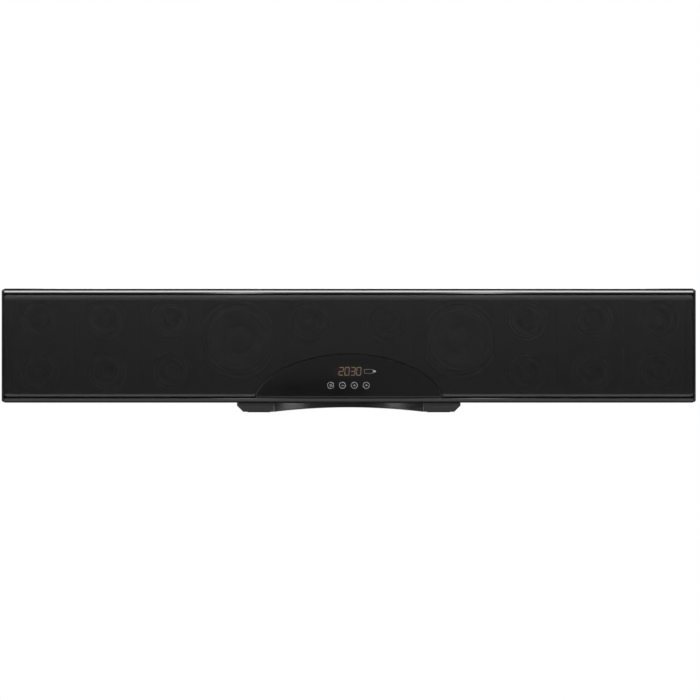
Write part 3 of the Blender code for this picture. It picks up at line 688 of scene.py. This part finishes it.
def rail(name, inwards):
    """A glossy trim bar: its outer edge a wide, flattened curve, its inner one barely broken."""
    low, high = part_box(name)
    outer = low.z if inwards > 0 else high.z
    inner = high.z if inwards > 0 else low.z - TOP_RAIL_LIP
    nose, start = [(0.0, 0.0)], 90
    for radius, end in RAIL_CROWN:
        y, down = nose[-1]
        for step in range(1, 9):
            turn = radians(start + (end - start) * step / 8)
            forward = radius * (cos(turn) - cos(radians(start)))
            nose.append((y - forward, down + radius * (sin(radians(start)) - sin(turn))))
        start = end
    front = nose[-1][0]
    nose = [(low.y + y - front, outer + inwards * down) for y, down in nose]
    edge_centre = (low.y + RAIL_EDGE, inner - inwards * RAIL_EDGE)
    edge = arc(edge_centre, RAIL_EDGE, 180, 180 - inwards * 90, 5)
    outline = nose + edge + [(high.y, inner), (high.y, outer)]
    if inwards > 0:
        outline.reverse()
    made = bmesh.new()
    bar(made, outline, CORNER_SHARE, low.x, high.x, along_x)
    piece(name + "_trim", made, ["piano_black"], "cabinet", [name])


def end_cap(side_name, side):
    name = "end_cap_" + side_name
    low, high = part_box(name)
    inset = CORNER_SHARE
    outline = rounded((low.y + inset, low.z + inset), (high.y - inset, high.z - inset), CAP_CORNER)
    outer, inner = (high.x, low.x) if side > 0 else (low.x, high.x)
    made = bmesh.new()
    solid(made, outline, CAP_ROLL, outer, inner, along_x)
    piece(name + "_gloss", made, ["piano_black"], "cabinet", [name])


def carved(obj, cutters, union=()):
    """Joins and cuts a piece with other shapes, and keeps the result as its mesh."""
    others = []
    for operation, group in (("UNION", union), ("DIFFERENCE", cutters)):
        for low, high in group:
            made = bmesh.new()
            block(made, low, high)
            mesh = bpy.data.meshes.new("cutter")
            made.to_mesh(mesh)
            made.free()
            other = new_object("cutter", mesh)
            others.append(other)
            modifier = obj.modifiers.new("carve", "BOOLEAN")
            modifier.operation = operation
            modifier.object = other
            modifier.solver = "EXACT"
    bpy.context.view_layer.update()
    graph = bpy.context.evaluated_depsgraph_get()
    mesh = bpy.data.meshes.new_from_object(obj.evaluated_get(graph))
    obj.modifiers.clear()
    obj.data = mesh
    for other in others:
        bpy.data.objects.remove(other, do_unlink=True)


def grown(low, high, margins, front, back):
    """The corners of a box over another, grown on each side in X and Z, between two levels in Y."""
    across, up = margins
    return (low.x - across, front, low.z - up), (high.x + across, back, high.z + up)


SHELL_WALL = 0.003
SHELL_ROUNDING = 0.005
GROOVE_DEPTH = 0.0006
# margins across and up
TRAY_CLEARANCE = (0.0004, 0.0004)
PLATE_CLEARANCE = (0.0003, 0.0003)
# half sizes, across and up, of the bosses behind the keyhole plates and of the pockets in them
BOSS = (0.012, 0.017)
POCKET = (0.010, 0.015)
SHELL_SCREWS_X = (-0.515, -0.300, -0.160, 0.160, 0.300, 0.515)


def cabinet_shell():
    low, high = SHELL_LOW, SHELL_HIGH
    corner = SHELL_ROUNDING
    outline = [(low.y, low.z)]
    outline += arc((high.y - corner, low.z + corner), corner, -90, 0, 12)
    outline += arc((high.y - corner, high.z - corner), corner, 0, 90, 12)
    outline += [(low.y, high.z)]
    made = bmesh.new()
    bar(made, outline, 0.0003, low.x, high.x, along_x)
    shell = piece("rear_shell", made, ["shell"], "cabinet", ["cabinet_shell"])
    wall = Vector((SHELL_WALL,) * 3)
    rear, past = high.y, high.y + 0.01
    cuts = [(Vector((low.x, low.y - 0.01, low.z)) + wall, high - wall)]
    cuts.append(grown(TRAY_LOW, TRAY_HIGH, TRAY_CLEARANCE, rear - 0.01, past))
    bosses = []
    for side_name, _ in SIDES:
        plate = "keyhole_plate_" + side_name
        at = middle(plate)
        bosses.append(grown(at, at, BOSS, rear - 0.013, rear - 0.0015))
        cuts.append(grown(*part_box(plate), PLATE_CLEARANCE, rear - 0.002, past))
        cuts.append(grown(at, at, POCKET, rear - 0.011, past))
    # The inside goes first, and the bosses stand in it, so they are added after it.
    carved(shell, cuts[:1])
    for z in (low.z + 0.013, high.z - 0.013):
        left_end = (low.x + 0.012, rear - GROOVE_DEPTH, z - 0.0006)
        cuts.append((left_end, (high.x - 0.012, past, z + 0.0006)))
    carved(shell, cuts[1:], bosses)
    shade(shell.data, 30)
    soften(shell, 0.0004, 2, 50)
    made = bmesh.new()
    for x in SHELL_SCREWS_X:
        for z in (low.z + 0.022, high.z - 0.022):
            screw_head(made, (x, z), rear - 0.0004, 1)
    piece("shell_screws", made, ["screw"], "cabinet", sharp=30)


# Control panel, display and keys.

PANEL_WALL = 0.0025
PANEL_EDGE = 0.00015
PANEL_LIP = 0.0027
GLYPH_SIZE = 0.0016
GLYPH_WIDTH = 0.00055
# the strokes of each key's sign, in units of its size
GLYPHS = {
    "power_key": [((0, 0), (0, 1.15))],
    "volume_down_key": [((-1, 0), (1, 0))],
    "volume_up_key": [((-1, 0), (1, 0)), ((0, -1), (0, 1))],
    "input_key": [((-1, 0), (0.8, 0)), ((1, 0), (0.1, 0.8)), ((1, 0), (0.1, -0.8))],
}
KEY_RADIUS = 0.0056
KEY_HOLE_RADIUS = 0.0059
KEY_FLANGE_RADIUS = 0.0070
KEY_STEM_RADIUS = 0.003


def fascia():
    bottom = PANEL_LOW.z
    curve = arch(0, bottom, 120)
    left, right = curve[-1][0], curve[0][0]
    level = [(left + (right - left) * i / 32, bottom) for i in range(1, 32)]
    outline = curve + level
    rolls = eased(curve, bottom, PANEL_LIP, PANEL_EDGE, 0.007) + [PANEL_LIP] * len(level)
    holes = []
    for name in GLYPHS:
        place = middle(name)
        holes.append((circle((place.x, place.z), KEY_HOLE_RADIUS, 48), 0.00015))
    made = bmesh.new()
    solid(made, outline, rolls, PANEL_LOW.y, PANEL_HIGH.y, along_y, holes, PANEL_WALL)
    piece("panel_fascia", made, ["acrylic"], "cabinet", ["control_panel"])


# The lit bars of each figure, clockwise from the top one, a, with g in the middle.
SEGMENTS = {"0": "abcdef", "2": "abged", "3": "abgcd"}
DIGIT_HEIGHT = 0.0122
DIGIT_WIDTH = 0.0066
DIGIT_STROKE = 0.0012
DIGIT_LEAN = 0.08
DIGIT_PITCH = 0.0092
DISPLAY_TEXT = "2030"
DIGITS_X = 0.0020
SYMBOL_X = 0.0345
PROUD = 0.00006


def patch(made, outline, face, material=0):
    """A flat shape standing just proud of a face."""
    front = loop(made, outline, face - PROUD)
    skin(made, [loop(made, outline, face), front], material)
    made.faces.new(front).material_index = material


def stroke(made, start, end, width, face, material=0, lean=0.0, base=0.0):
    """A flat bar with pointed ends. lean slants it about the height base."""
    start, end = Vector(start), Vector(end)
    along = (end - start).normalized()
    across = Vector((-along.y, along.x)) * width / 2
    tip = along * width / 2
    points = [start, start + tip - across, end - tip - across]
    points += [end, end - tip + across, start + tip + across]
    patch(made, [(p.x + lean * (p.y - base), p.y) for p in points], face, material)


def seven_segments(made, figure, x, z, face):
    half, top = DIGIT_WIDTH / 2, DIGIT_HEIGHT / 2
    gap = 0.0001
    ends = {
        "a": ((-half, top), (half, top)),
        "b": ((half, top), (half, 0)),
        "c": ((half, 0), (half, -top)),
        "d": ((-half, -top), (half, -top)),
        "e": ((-half, 0), (-half, -top)),
        "f": ((-half, top), (-half, 0)),
        "g": ((-half, 0), (half, 0)),
    }
    for letter in SEGMENTS[figure]:
        (x1, z1), (x2, z2) = ends[letter]
        one, two = Vector((x + x1, z + z1)), Vector((x + x2, z + z2))
        trim = (two - one).normalized() * gap
        stroke(made, one + trim, two - trim, DIGIT_STROKE, face, 0, DIGIT_LEAN, z)


def display():
    face = PANEL_LOW.y
    z = middle("display_module").z
    made = bmesh.new()
    first = DIGITS_X - DIGIT_PITCH * (len(DISPLAY_TEXT) - 1) / 2
    for number, figure in enumerate(DISPLAY_TEXT):
        seven_segments(made, figure, first + number * DIGIT_PITCH, z, face - PROUD)
    piece("display_digits", made, ["digit"], "cabinet", sharp=20)
    # A sheet just proud of the panel carries the display's painted glow.
    made = bmesh.new()
    across, up = GLOW_HALF_WIDTH, GLOW_HALF_HEIGHT
    patch(made, rounded((-across, z - up), (across, z + up), 0.002), face)
    piece("display_glow_sheet", made, ["digit_glow"], "cabinet", sharp=20)
    plug_symbol(face - PROUD, z)


def plug_symbol(face, z):
    """An outline drawing of an audio plug, lying on its side."""
    x = SYMBOL_X
    width = 0.0008
    lines = [
        # sleeve, barrel, tip and lead
        ((-0.0100, 0.0030), (0.0035, 0.0030)),
        ((0.0035, 0.0030), (0.0035, -0.0030)),
        ((0.0035, -0.0030), (-0.0100, -0.0030)),
        ((-0.0100, -0.0030), (-0.0100, 0.0030)),
        ((0.0035, 0.0011), (0.0078, 0.0011)),
        ((0.0035, 0.0), (0.0084, 0.0)),
        ((0.0035, -0.0011), (0.0078, -0.0011)),
    ]
    made = bmesh.new()
    for (x1, z1), (x2, z2) in lines:
        bright = x1 > 0.003 and x2 > x1
        stroke(made, (x + x1, z + z1), (x + x2, z + z2), width, face, int(bright))
    piece("plug_symbol", made, ["plug_print", "glyph_print"], "cabinet", sharp=20)


def ring_print(made, centre, inner, outer, level, start=0, end=360, material=1):
    """A flat printed band, or part of one, with angles in degrees."""
    steps = max(6, round((end - start) / 6))
    one, two = arc(centre, outer, start, end, steps), arc(centre, inner, start, end, steps)
    outline = one + two[::-1]
    closed = end - start >= 360
    low, high = loop(made, outline, level), loop(made, outline, level - PROUD)
    count = len(one)
    for i in range(count - 1):
        corners = (high[i], high[i + 1], high[-2 - i], high[-1 - i])
        made.faces.new(corners).material_index = material
    for i in range(len(outline) - 1 if closed else len(outline)):
        j = (i + 1) % len(outline)
        if closed and i == count - 1:
            continue
        made.faces.new((low[i], low[j], high[j], high[i])).material_index = material
    bmesh.ops.remove_doubles(made, verts=low + high, dist=1e-6)


def key(name):
    """A round push key with a shallow dish, a pale printed ring and its symbol."""
    low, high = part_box(name)
    place = middle(name)
    centre = (place.x, place.z)
    front, rear = low.y, low.y + 0.0031
    dish, dish_radius, edge = 0.00025, 0.0044, 0.0004
    profile = [(0, front + dish)]
    for step in range(1, 9):
        share = step / 8
        profile.append((dish_radius * share, front + dish * (1 - share**2)))
    profile.append((0.0052, front))
    for turn in (0.0, 0.5, 1.0, QUARTER):
        profile.append((KEY_RADIUS - edge * (1 - sin(turn)), front + edge * (1 - cos(turn))))
    profile += [(KEY_RADIUS, rear), (KEY_FLANGE_RADIUS, rear)]
    profile += [(KEY_FLANGE_RADIUS, rear + 0.001), (KEY_STEM_RADIUS, rear + 0.001)]
    profile += [(KEY_STEM_RADIUS, high.y), (0, high.y)]
    made = bmesh.new()
    lathe(made, profile, centre, 48)
    # The printed signs are open bands, whose faces are drawn facing out.
    face_out(made)
    ring_print(made, centre, 0.00455, 0.00520, front + 0.00001)
    glyph(made, name, centre, front + dish * 0.75)
    mesh = meshed(name + "_cap", made, ["key", "key_print", "glyph_print"], 30)
    placed(name + "_cap", mesh, name, [name])


def glyph(made, name, centre, level):
    if name == "power_key":
        inner = GLYPH_SIZE - GLYPH_WIDTH
        ring_print(made, centre, inner, GLYPH_SIZE, level, 125, 415, 2)
    for line in GLYPHS[name]:
        start, end = [Vector(centre) + Vector(point) * GLYPH_SIZE for point in line]
        stroke(made, start, end, GLYPH_WIDTH, level, 2)


# Drivers. Each kind is drawn once, about the Y axis, with the flange's face at y = 0.

SPOKES = 6
# The magnet's and the pole's shares of the basket's radius, and the plate's of the depth.
MAGNET_SHARE, POLE_SHARE, PLATE_SHARE = 0.62, 0.26, 0.65
# width and height of the surround's half roll
SURROUNDS = {"woofer": (0.0085, 0.0030), "mid": (0.0050, 0.0019), "small": (0.0046, 0.0017)}
KINDS = {
    # radii of flange and basket, depth, travel, screws, turning steps
    "woofer": (0.0620, 0.0540, 0.060, 0.0030, 8, 96),
    "mid": (0.0345, 0.0295, 0.038, 0.0020, 4, 64),
    "small": (0.0330, 0.0280, 0.032, 0.0015, 4, 64),
}


def basket_mesh(kind):
    flange, body, depth, _, screws, steps = KINDS[kind]
    magnet, pole = MAGNET_SHARE * body, POLE_SHARE * body
    plate = depth * PLATE_SHARE
    made = bmesh.new()
    # Flange with a rounded rim, a step for the gasket, and the basket's upper wall.
    profile = [
        (body - 0.0015, 0.0006),
        (body - 0.0011, 0.0002),
        (body - 0.0004, 0.0000),
        (flange - 0.0010, 0.0000),
        (flange - 0.0003, 0.0003),
        (flange, 0.0010),
        (flange, 0.0022),
        (body + 0.0006, 0.0022),
        (body, 0.0032),
        (body, 0.0110),
        (body - 0.0015, 0.0110),
    ]
    lathe(made, profile, steps=steps, closed=True)
    proud = -0.00022
    gasket = [(-0.0002, 0.0), (0.0004, proud), (0.0022, proud), (0.0028, 0.0)]
    lathe(made, [(body + r, y) for r, y in gasket], steps=steps, material=1)
    for number in range(screws):
        angle = FULL_TURN * (number + 0.5) / screws
        reach = (flange + body) / 2 + 0.0010
        centre = (reach * cos(angle), reach * sin(angle))
        screw_head(made, centre, 0.0, -1, 0.0016, 0.0003, 2)
    for number in range(SPOKES):
        angle = FULL_TURN * number / SPOKES
        spoke(made, angle, (body - 0.0008, 0.0105), (magnet - 0.001, plate), 0.006, 0.0012)
    hoop(made, magnet - 0.006, magnet, plate - 0.0015, plate, steps)
    # Top plate and magnet, then the yoke with its pole.
    hole, top, end = pole + 0.0024, plate + 0.003, depth - 0.003
    hoop(made, hole, magnet - 0.002, plate, top, steps, 4)
    profile = [
        (hole + 0.001, top),
        (magnet - 0.0006, top),
        (magnet, top + 0.0006),
        (magnet, end - 0.0006),
        (magnet - 0.0006, end),
        (hole + 0.001, end),
    ]
    lathe(made, profile, steps=steps, material=3, closed=True)
    profile = [
        (0, plate + 0.0004),
        (pole - 0.0004, plate + 0.0004),
        (pole, plate + 0.0008),
        (pole, end),
        (magnet - 0.002, end),
        (magnet - 0.002, depth - 0.0005),
        (magnet - 0.0026, depth),
        (0, depth),
    ]
    lathe(made, profile, steps=steps, material=4)
    return made


def spoke(made, angle, start, end, width, thickness):
    """A flat rib of the basket between two (radius, y) points, waisted and a little bowed."""
    out, side = Vector((cos(angle), 0, sin(angle))), Vector((-sin(angle), 0, cos(angle)))
    lean = out * thickness / 2
    rows = []
    for share in (0.0, 0.12, 0.3, 0.6, 0.85, 1.0):
        radius = start[0] + (end[0] - start[0]) * share + 0.0012 * sin(pi * share)
        centre = out * radius + Vector((0, start[1] + (end[1] - start[1]) * share, 0))
        across = side * width * (0.5 + 0.5 * abs(2 * share - 1) ** 3) / 2
        corners = ((-1, -1), (1, -1), (1, 1), (-1, 1))
        rows.append([made.verts.new(centre + a * lean + b * across) for a, b in corners])
    skin(made, rows)
    made.faces.new(rows[0])
    made.faces.new(rows[-1])


def cone_mesh(kind):
    _, body, depth, travel, _, steps = KINDS[kind]
    rim = body - 0.0020
    roll, height = SURROUNDS[kind]
    plate = depth * PLATE_SHARE
    neck = plate - travel - 0.002
    former = POLE_SHARE * body + 0.0012
    made = bmesh.new()
    # Surround: a half roll, front and back faces.
    lip = 0.0012
    centre = rim - lip - roll / 2
    front, back = [(rim, 0.0006)], [(rim, 0.0011)]
    for step in range(13):
        turn = pi * step / 12
        front.append((centre + roll / 2 * cos(turn), 0.0006 - height * sin(turn)))
        back.append((centre + (roll / 2 - 0.0004) * cos(turn), 0.0011 - height * sin(turn)))
    inner = centre - roll / 2
    front.append((inner - lip, 0.0007))
    back.append((inner - lip, 0.0012))
    lathe(made, front + back[::-1], steps=steps, material=1, closed=True)
    # Cone, curving in to the coil's former.
    outer_edge, cap = inner - 0.0002, former * 1.45
    face, rear = [], []
    for step in range(11):
        share = step / 10
        radius = outer_edge + (former - outer_edge) * share
        y = 0.0014 + (neck - 0.0014) * (0.72 * share + 0.28 * share * share)
        face.append((radius, y))
        rear.append((radius, y + 0.0008))
    lathe(made, face + rear[::-1], steps=steps, closed=True)
    at_cap = [y for r, y in face if r <= cap]
    cap_y = at_cap[0]
    turns = [QUARTER * i / 10 for i in range(11)]
    dome = [(cap * cos(t), cap_y - 0.0003 - 0.42 * cap * sin(t)) for t in turns]
    dome[-1] = (0, dome[-1][1])
    lathe(made, [(cap + 0.0008, cap_y + 0.0002), *dome], steps=steps, material=2)
    # Former with its coil.
    wall = 0.0002
    bottom = plate + 0.16 * depth
    hoop(made, former - wall, former + wall, neck, bottom, steps)
    coil = [
        (former + wall, bottom - 0.0060),
        (former + 0.0006, bottom - 0.0058),
        (former + 0.0006, bottom - 0.0004),
        (former + wall, bottom - 0.0002),
    ]
    lathe(made, coil, steps=steps, material=3)
    return made


def drivers():
    """Each driver's two pieces, which share their meshes with the others of their kind."""
    meshes = {}
    for kind in KINDS:
        pulp, flange = kind + "_cone", kind + "_flange"
        for name, draw, looks in (
            (kind + "_basket", basket_mesh, [flange, "gasket", "screw", "magnet", "steel"]),
            (kind + "_cone", cone_mesh, [pulp, kind + "_surround", pulp, "copper"]),
        ):
            made = draw(kind)
            face_out(made)
            meshes[name] = meshed(name, made, looks, 35)
    for cone in sorted(name for name in nodes if name.endswith("_cone")):
        driver = cone.removesuffix("_cone")
        kind, basket = driver.split("_")[0], driver + "_basket"
        place = middle(basket)
        at = (place.x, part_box(basket)[0].y, place.z)
        mesh = meshes[kind + "_basket"]
        placed(driver + "_frame", mesh, "cabinet", [basket], at)
        placed(driver + "_diaphragm", meshes[kind + "_cone"], cone, [cone], at)


# Foot.

FOOT_UPRIGHT = 0.0046
FOOT_SCOOP = 0.014
# width of the pale strip painted as a highlight on each seam of the foot
SEAM_HIGHLIGHT_WIDTH = 0.0008
ARCH_RISE = 0.0077


def foot_end(side_name, side):
    name = "foot_" + side_name
    low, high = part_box(name)
    inner, outer = (low.x, high.x) if side > 0 else (high.x, low.x)
    slope_top = high.z + 0.0003 - FOOT_UPRIGHT
    slope_foot = outer - side * (slope_top - low.z)
    outline = [(inner, high.z), (inner, low.z), (slope_foot, low.z)]
    outline += [(outer, slope_top), (outer, high.z)]
    if side < 0:
        outline.reverse()
    made = bmesh.new()
    bar(made, outline, 0.0005, low.y, high.y, along_y)
    looks = ["foot_plastic"]
    obj = piece(name + "_block", made, looks, "cabinet", [name], 30)
    pad_low, pad_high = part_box("pad_" + side_name)
    low_corner = pad_low - Vector((0.0004, 0.0004, 0.002))
    carved(obj, [(low_corner, pad_high + Vector((0.0004, 0.0004, 0.0003)))])
    shade(obj.data, 30)
    # A narrow pale strip at the joint with the glossy middle is a painted highlight along the seam.
    made = bmesh.new()
    highlight_low, highlight_high = sorted((inner - side * SEAM_HIGHLIGHT_WIDTH / 2, inner + side * SEAM_HIGHLIGHT_WIDTH / 2))
    edge = rounded((highlight_low, low.z + 0.0004), (highlight_high, high.z - 0.0004), 0.0002, 3)
    solid(made, edge, 0.00015, low.y - 0.0002, low.y + 0.0030, along_y)
    piece(name + "_seam_highlight", made, ["foot_seam_highlight"], "cabinet", sharp=30)


def foot_bridge():
    """The glossy middle: its front scooped back, its underside arched, its lower edge softened."""
    low, high = BRIDGE_LOW, BRIDGE_HIGH
    half = high.x
    scoop = (half * half + FOOT_SCOOP * FOOT_SCOOP) / (2 * FOOT_SCOOP)
    rise = ARCH_RISE - low.z
    under = (half * half + rise * rise) / (2 * rise)
    edge = 0.0007
    made = bmesh.new()
    rows = []
    count = 72
    for i in range(count + 1):
        x = -half + 2 * half * i / count
        front = low.y + FOOT_SCOOP - scoop + (scoop * scoop - x * x) ** 0.5
        bottom = ARCH_RISE - under + (under * under - x * x) ** 0.5
        # The points beside each rounded edge keep the wall between them shaded flat.
        section = arc((front + edge, high.z - edge), edge, 90, 180, 3)
        section += [(front, high.z - edge - 0.0002), (front, bottom + edge + 0.0002)]
        section += arc((front + edge, bottom + edge), edge, 180, 270, 4)
        section += [(high.y, bottom), (high.y, high.z)]
        rows.append([made.verts.new((x, y, z)) for y, z in section])
    skin(made, rows)
    made.faces.new(rows[0])
    made.faces.new(rows[-1])
    looks = ["bridge_black"]
    piece("foot_bridge_gloss", made, looks, "cabinet", ["foot_bridge"], 35)


# Rear connectors.

WELL_HALF_WIDTH = 0.0100
WELL_RADIUS = 0.0050
WELL_DEPTH = 0.013
PIN_SPACING = 0.0086
SOCKET_PITCH = 0.017
# the materials of the sockets' inserts, from left to right as places in socket_panel's list
SOCKET_INSERTS = (4, 3, 4, 3, 5, 6)


def figure_eight(centre, half_width, radius, steps=14):
    """The outline of a two-pole inlet: two round ends with a waist, counter-clockwise."""
    x, z = centre
    reach = half_width - radius
    right = arc((x + reach, z), radius, -115, 115, steps)
    left = arc((x - reach, z), radius, 65, 295, steps)
    waist = radius * 0.80
    return right + [(x, z + waist)] + left + [(x, z - waist)]


def mains_inlet():
    low, high = INLET_LOW, INLET_HIGH
    x, z = (low.x + high.x) / 2, (low.z + high.z) / 2
    well = figure_eight((x, z), WELL_HALF_WIDTH, WELL_RADIUS)
    made = bmesh.new()
    outline = rounded((low.x, low.z), (high.x, high.z), 0.0015)
    solid(made, outline, 0.0006, high.y, low.y, along_y, [(well, 0.0004)], shut=False)
    # The block's own back, which is filled without the well, is behind the well's floor.
    rim = []
    for edge in made.edges:
        off = edge.verts[0].co - Vector((x, low.y, z))
        past = abs(off.x) > WELL_HALF_WIDTH + 0.0001 or abs(off.z) > WELL_RADIUS + 0.0001
        if past and all(abs(v.co.y - low.y) < 1e-6 for v in edge.verts):
            rim.append(edge)
    bmesh.ops.triangle_fill(made, use_beauty=True, edges=rim)
    floor = high.y - WELL_DEPTH
    made.faces.new(loop(made, well, floor))
    pin = [(0.0012, floor), (0.0012, high.y - 0.0028), (0.0008, high.y - 0.0021)]
    pin.append((0, high.y - 0.0019))
    for side in (-1, 1):
        lathe(made, pin, (x + side * PIN_SPACING / 2, z), 20, 1)
    looks = ["socket", "steel"]
    piece("mains_inlet_body", made, looks, "cabinet", ["mains_inlet"], 35)


def input_sockets():
    low, high = SOCKETS_LOW, SOCKETS_HIGH
    z = (low.z + high.z) / 2
    plate = low.y + 0.002
    made = bmesh.new()
    outline = rounded((low.x, low.z), (high.x, high.z), 0.002)
    solid(made, outline, 0.0005, plate, low.y, along_y)
    end, floor = high.y, plate + 0.001
    collar = [(0.0062, plate - 0.0001), (0.0062, plate + 0.0008)]
    collar += [(0.0058, plate + 0.0012), (0.0042, plate + 0.0012)]
    sleeve = [(0.0041, plate), (0.0041, end - 0.0004), (0.0038, end)]
    sleeve += [(0.0034, end), (0.0034, floor)]
    core = [(0.0034, floor), (0.0034, end - 0.0008), (0.0031, end - 0.0006)]
    core += [(0.0017, end - 0.0006), (0.0015, end - 0.001), (0.0015, floor), (0, floor)]
    first = (low.x + high.x) / 2 - SOCKET_PITCH * (len(SOCKET_INSERTS) - 1) / 2
    for number, colour in enumerate(SOCKET_INSERTS):
        centre = (first + number * SOCKET_PITCH, z)
        for profile, material in ((collar, colour), (sleeve, 1), (core, colour)):
            lathe(made, profile, centre, 32, material)
    screw_head(made, (low.x + 0.004, z + 0.007), plate, 1, 0.0022, 0.0008, 2)
    screw_head(made, (high.x - 0.004, z - 0.007), plate, 1, 0.0022, 0.0008, 2)
    looks = ["socket", "steel", "screw"]
    looks += [colour + "_insert" for colour in ("red", "white", "yellow", "black")]
    piece("socket_panel", made, looks, "cabinet", ["input_sockets"], 35)


def carried_over():
    """Better materials for the CAD nodes that are shown as they are."""
    for names, look in (
        (("front_baffle",), "baffle"),
        (("grille_frame",), "frame"),
        (("connector_tray",), "shell"),
        (("display_module",), "black_insert"),
        (("control_board", "main_board", "amplifier_board"), "board"),
        (("power_supply",), "aluminium"),
        (("pad_left", "pad_right"), "pad"),
        (("keyhole_plate_left", "keyhole_plate_right"), "zinc"),
    ):
        for name in names:
            for slot in nodes[name].material_slots:
                slot.material = LOOKS[look]


# Studio.

VIEW_X = 0.002
VIEW_Z = 0.0983
FIELD_WIDTH = 1.0998
LENS = 150.0
SENSOR = 36.0
WORLD_LIGHT = 0.12
FLOOR_REACH = 60.0
# name, place, the point it faces, width, height and power
LIGHTS = (
    ("front_strip", (0, -0.326, 0.421), (0, -0.05, 0.10), 2.2, 0.11, 12.1),
    ("low_card", (0, -0.0765, 0.003), (0, -0.0765, 1.0), 1.4, 0.027, 0.105),
    ("room_card", (0.78, -1.2, 0.50), (0.78, 0, 0.50), 1.5, 1.0, 1.0),
    ("upper_card", (-0.57, -1.2, 0.535), (-0.57, 0, 0.535), 1.2, 1.0, 0.85),
    ("left_box", (-0.345, -1.5, 0.155), (0, 0, 0.05), 0.11, 0.3, 1.05),
    ("right_box", (0.425, -1.5, 0.155), (0, 0, 0.05), 0.13, 0.3, 1.4),
    ("back_fill", (0, 1.6, 1.2), (0, 0, 0.1), 1.6, 0.8, 40.0),
    ("right_card", (1.5, 0.34, 0.45), (0, 0.34, 0.45), 0.8, 0.9, 2.2),
    ("left_card", (-1.5, 0.34, 0.45), (0, 0.34, 0.45), 0.8, 0.9, 2.2),
)


def softbox(name, place, aim, width, height, power):
    data = bpy.data.lights.new(name, "AREA")
    data.shape = "RECTANGLE"
    data.size, data.size_y = width, height
    data.energy = power
    light = new_object(name, data)
    light.location = place
    light.rotation_euler = (Vector(aim) - Vector(place)).to_track_quat("-Z", "Y").to_euler()
    light.visible_camera = False


def studio():
    world = bpy.data.worlds.new("studio")
    bpy.context.scene.world = world
    world.use_nodes = True
    tree = world.node_tree
    tree.nodes.clear()
    # The camera sees plain white all round, and the soundbar gets only a little of it.
    path = tree.nodes.new("ShaderNodeLightPath")
    mixed, out = tree.nodes.new("ShaderNodeMixShader"), tree.nodes.new("ShaderNodeOutputWorld")
    tree.links.new(path.outputs["Is Camera Ray"], mixed.inputs[0])
    for socket, strength in ((1, WORLD_LIGHT), (2, 1.0)):
        background = tree.nodes.new("ShaderNodeBackground")
        background.inputs["Color"].default_value = (1, 1, 1, 1)
        background.inputs["Strength"].default_value = strength
        tree.links.new(background.outputs[0], mixed.inputs[socket])
    tree.links.new(mixed.outputs[0], out.inputs["Surface"])

    made = bmesh.new()
    bmesh.ops.create_grid(made, x_segments=1, y_segments=1, size=FLOOR_REACH)
    mesh = bpy.data.meshes.new("floor")
    made.to_mesh(mesh)
    made.free()
    mesh.materials.append(floor_paint())
    new_object("floor", mesh)

    for light in LIGHTS:
        softbox(*light)

    data = bpy.data.cameras.new("camera")
    data.lens, data.sensor_width = LENS, SENSOR
    camera = new_object("camera", data)
    distance = FIELD_WIDTH * LENS / SENSOR
    camera.location = (VIEW_X, cad_box[0].y - distance, VIEW_Z)
    camera.rotation_euler = (QUARTER, 0, 0)
    bpy.context.scene.camera = camera
    bpy.context.scene.view_settings.view_transform = "Standard"


grille_cloth()
rail("top_rail", -1)
rail("bottom_rail", 1)
for side_name, side in SIDES:
    end_cap(side_name, side)
    foot_end(side_name, side)
foot_bridge()
cabinet_shell()
fascia()
display()
for name in GLYPHS:
    key(name)
drivers()
mains_inlet()
input_sockets()
carried_over()
studio()
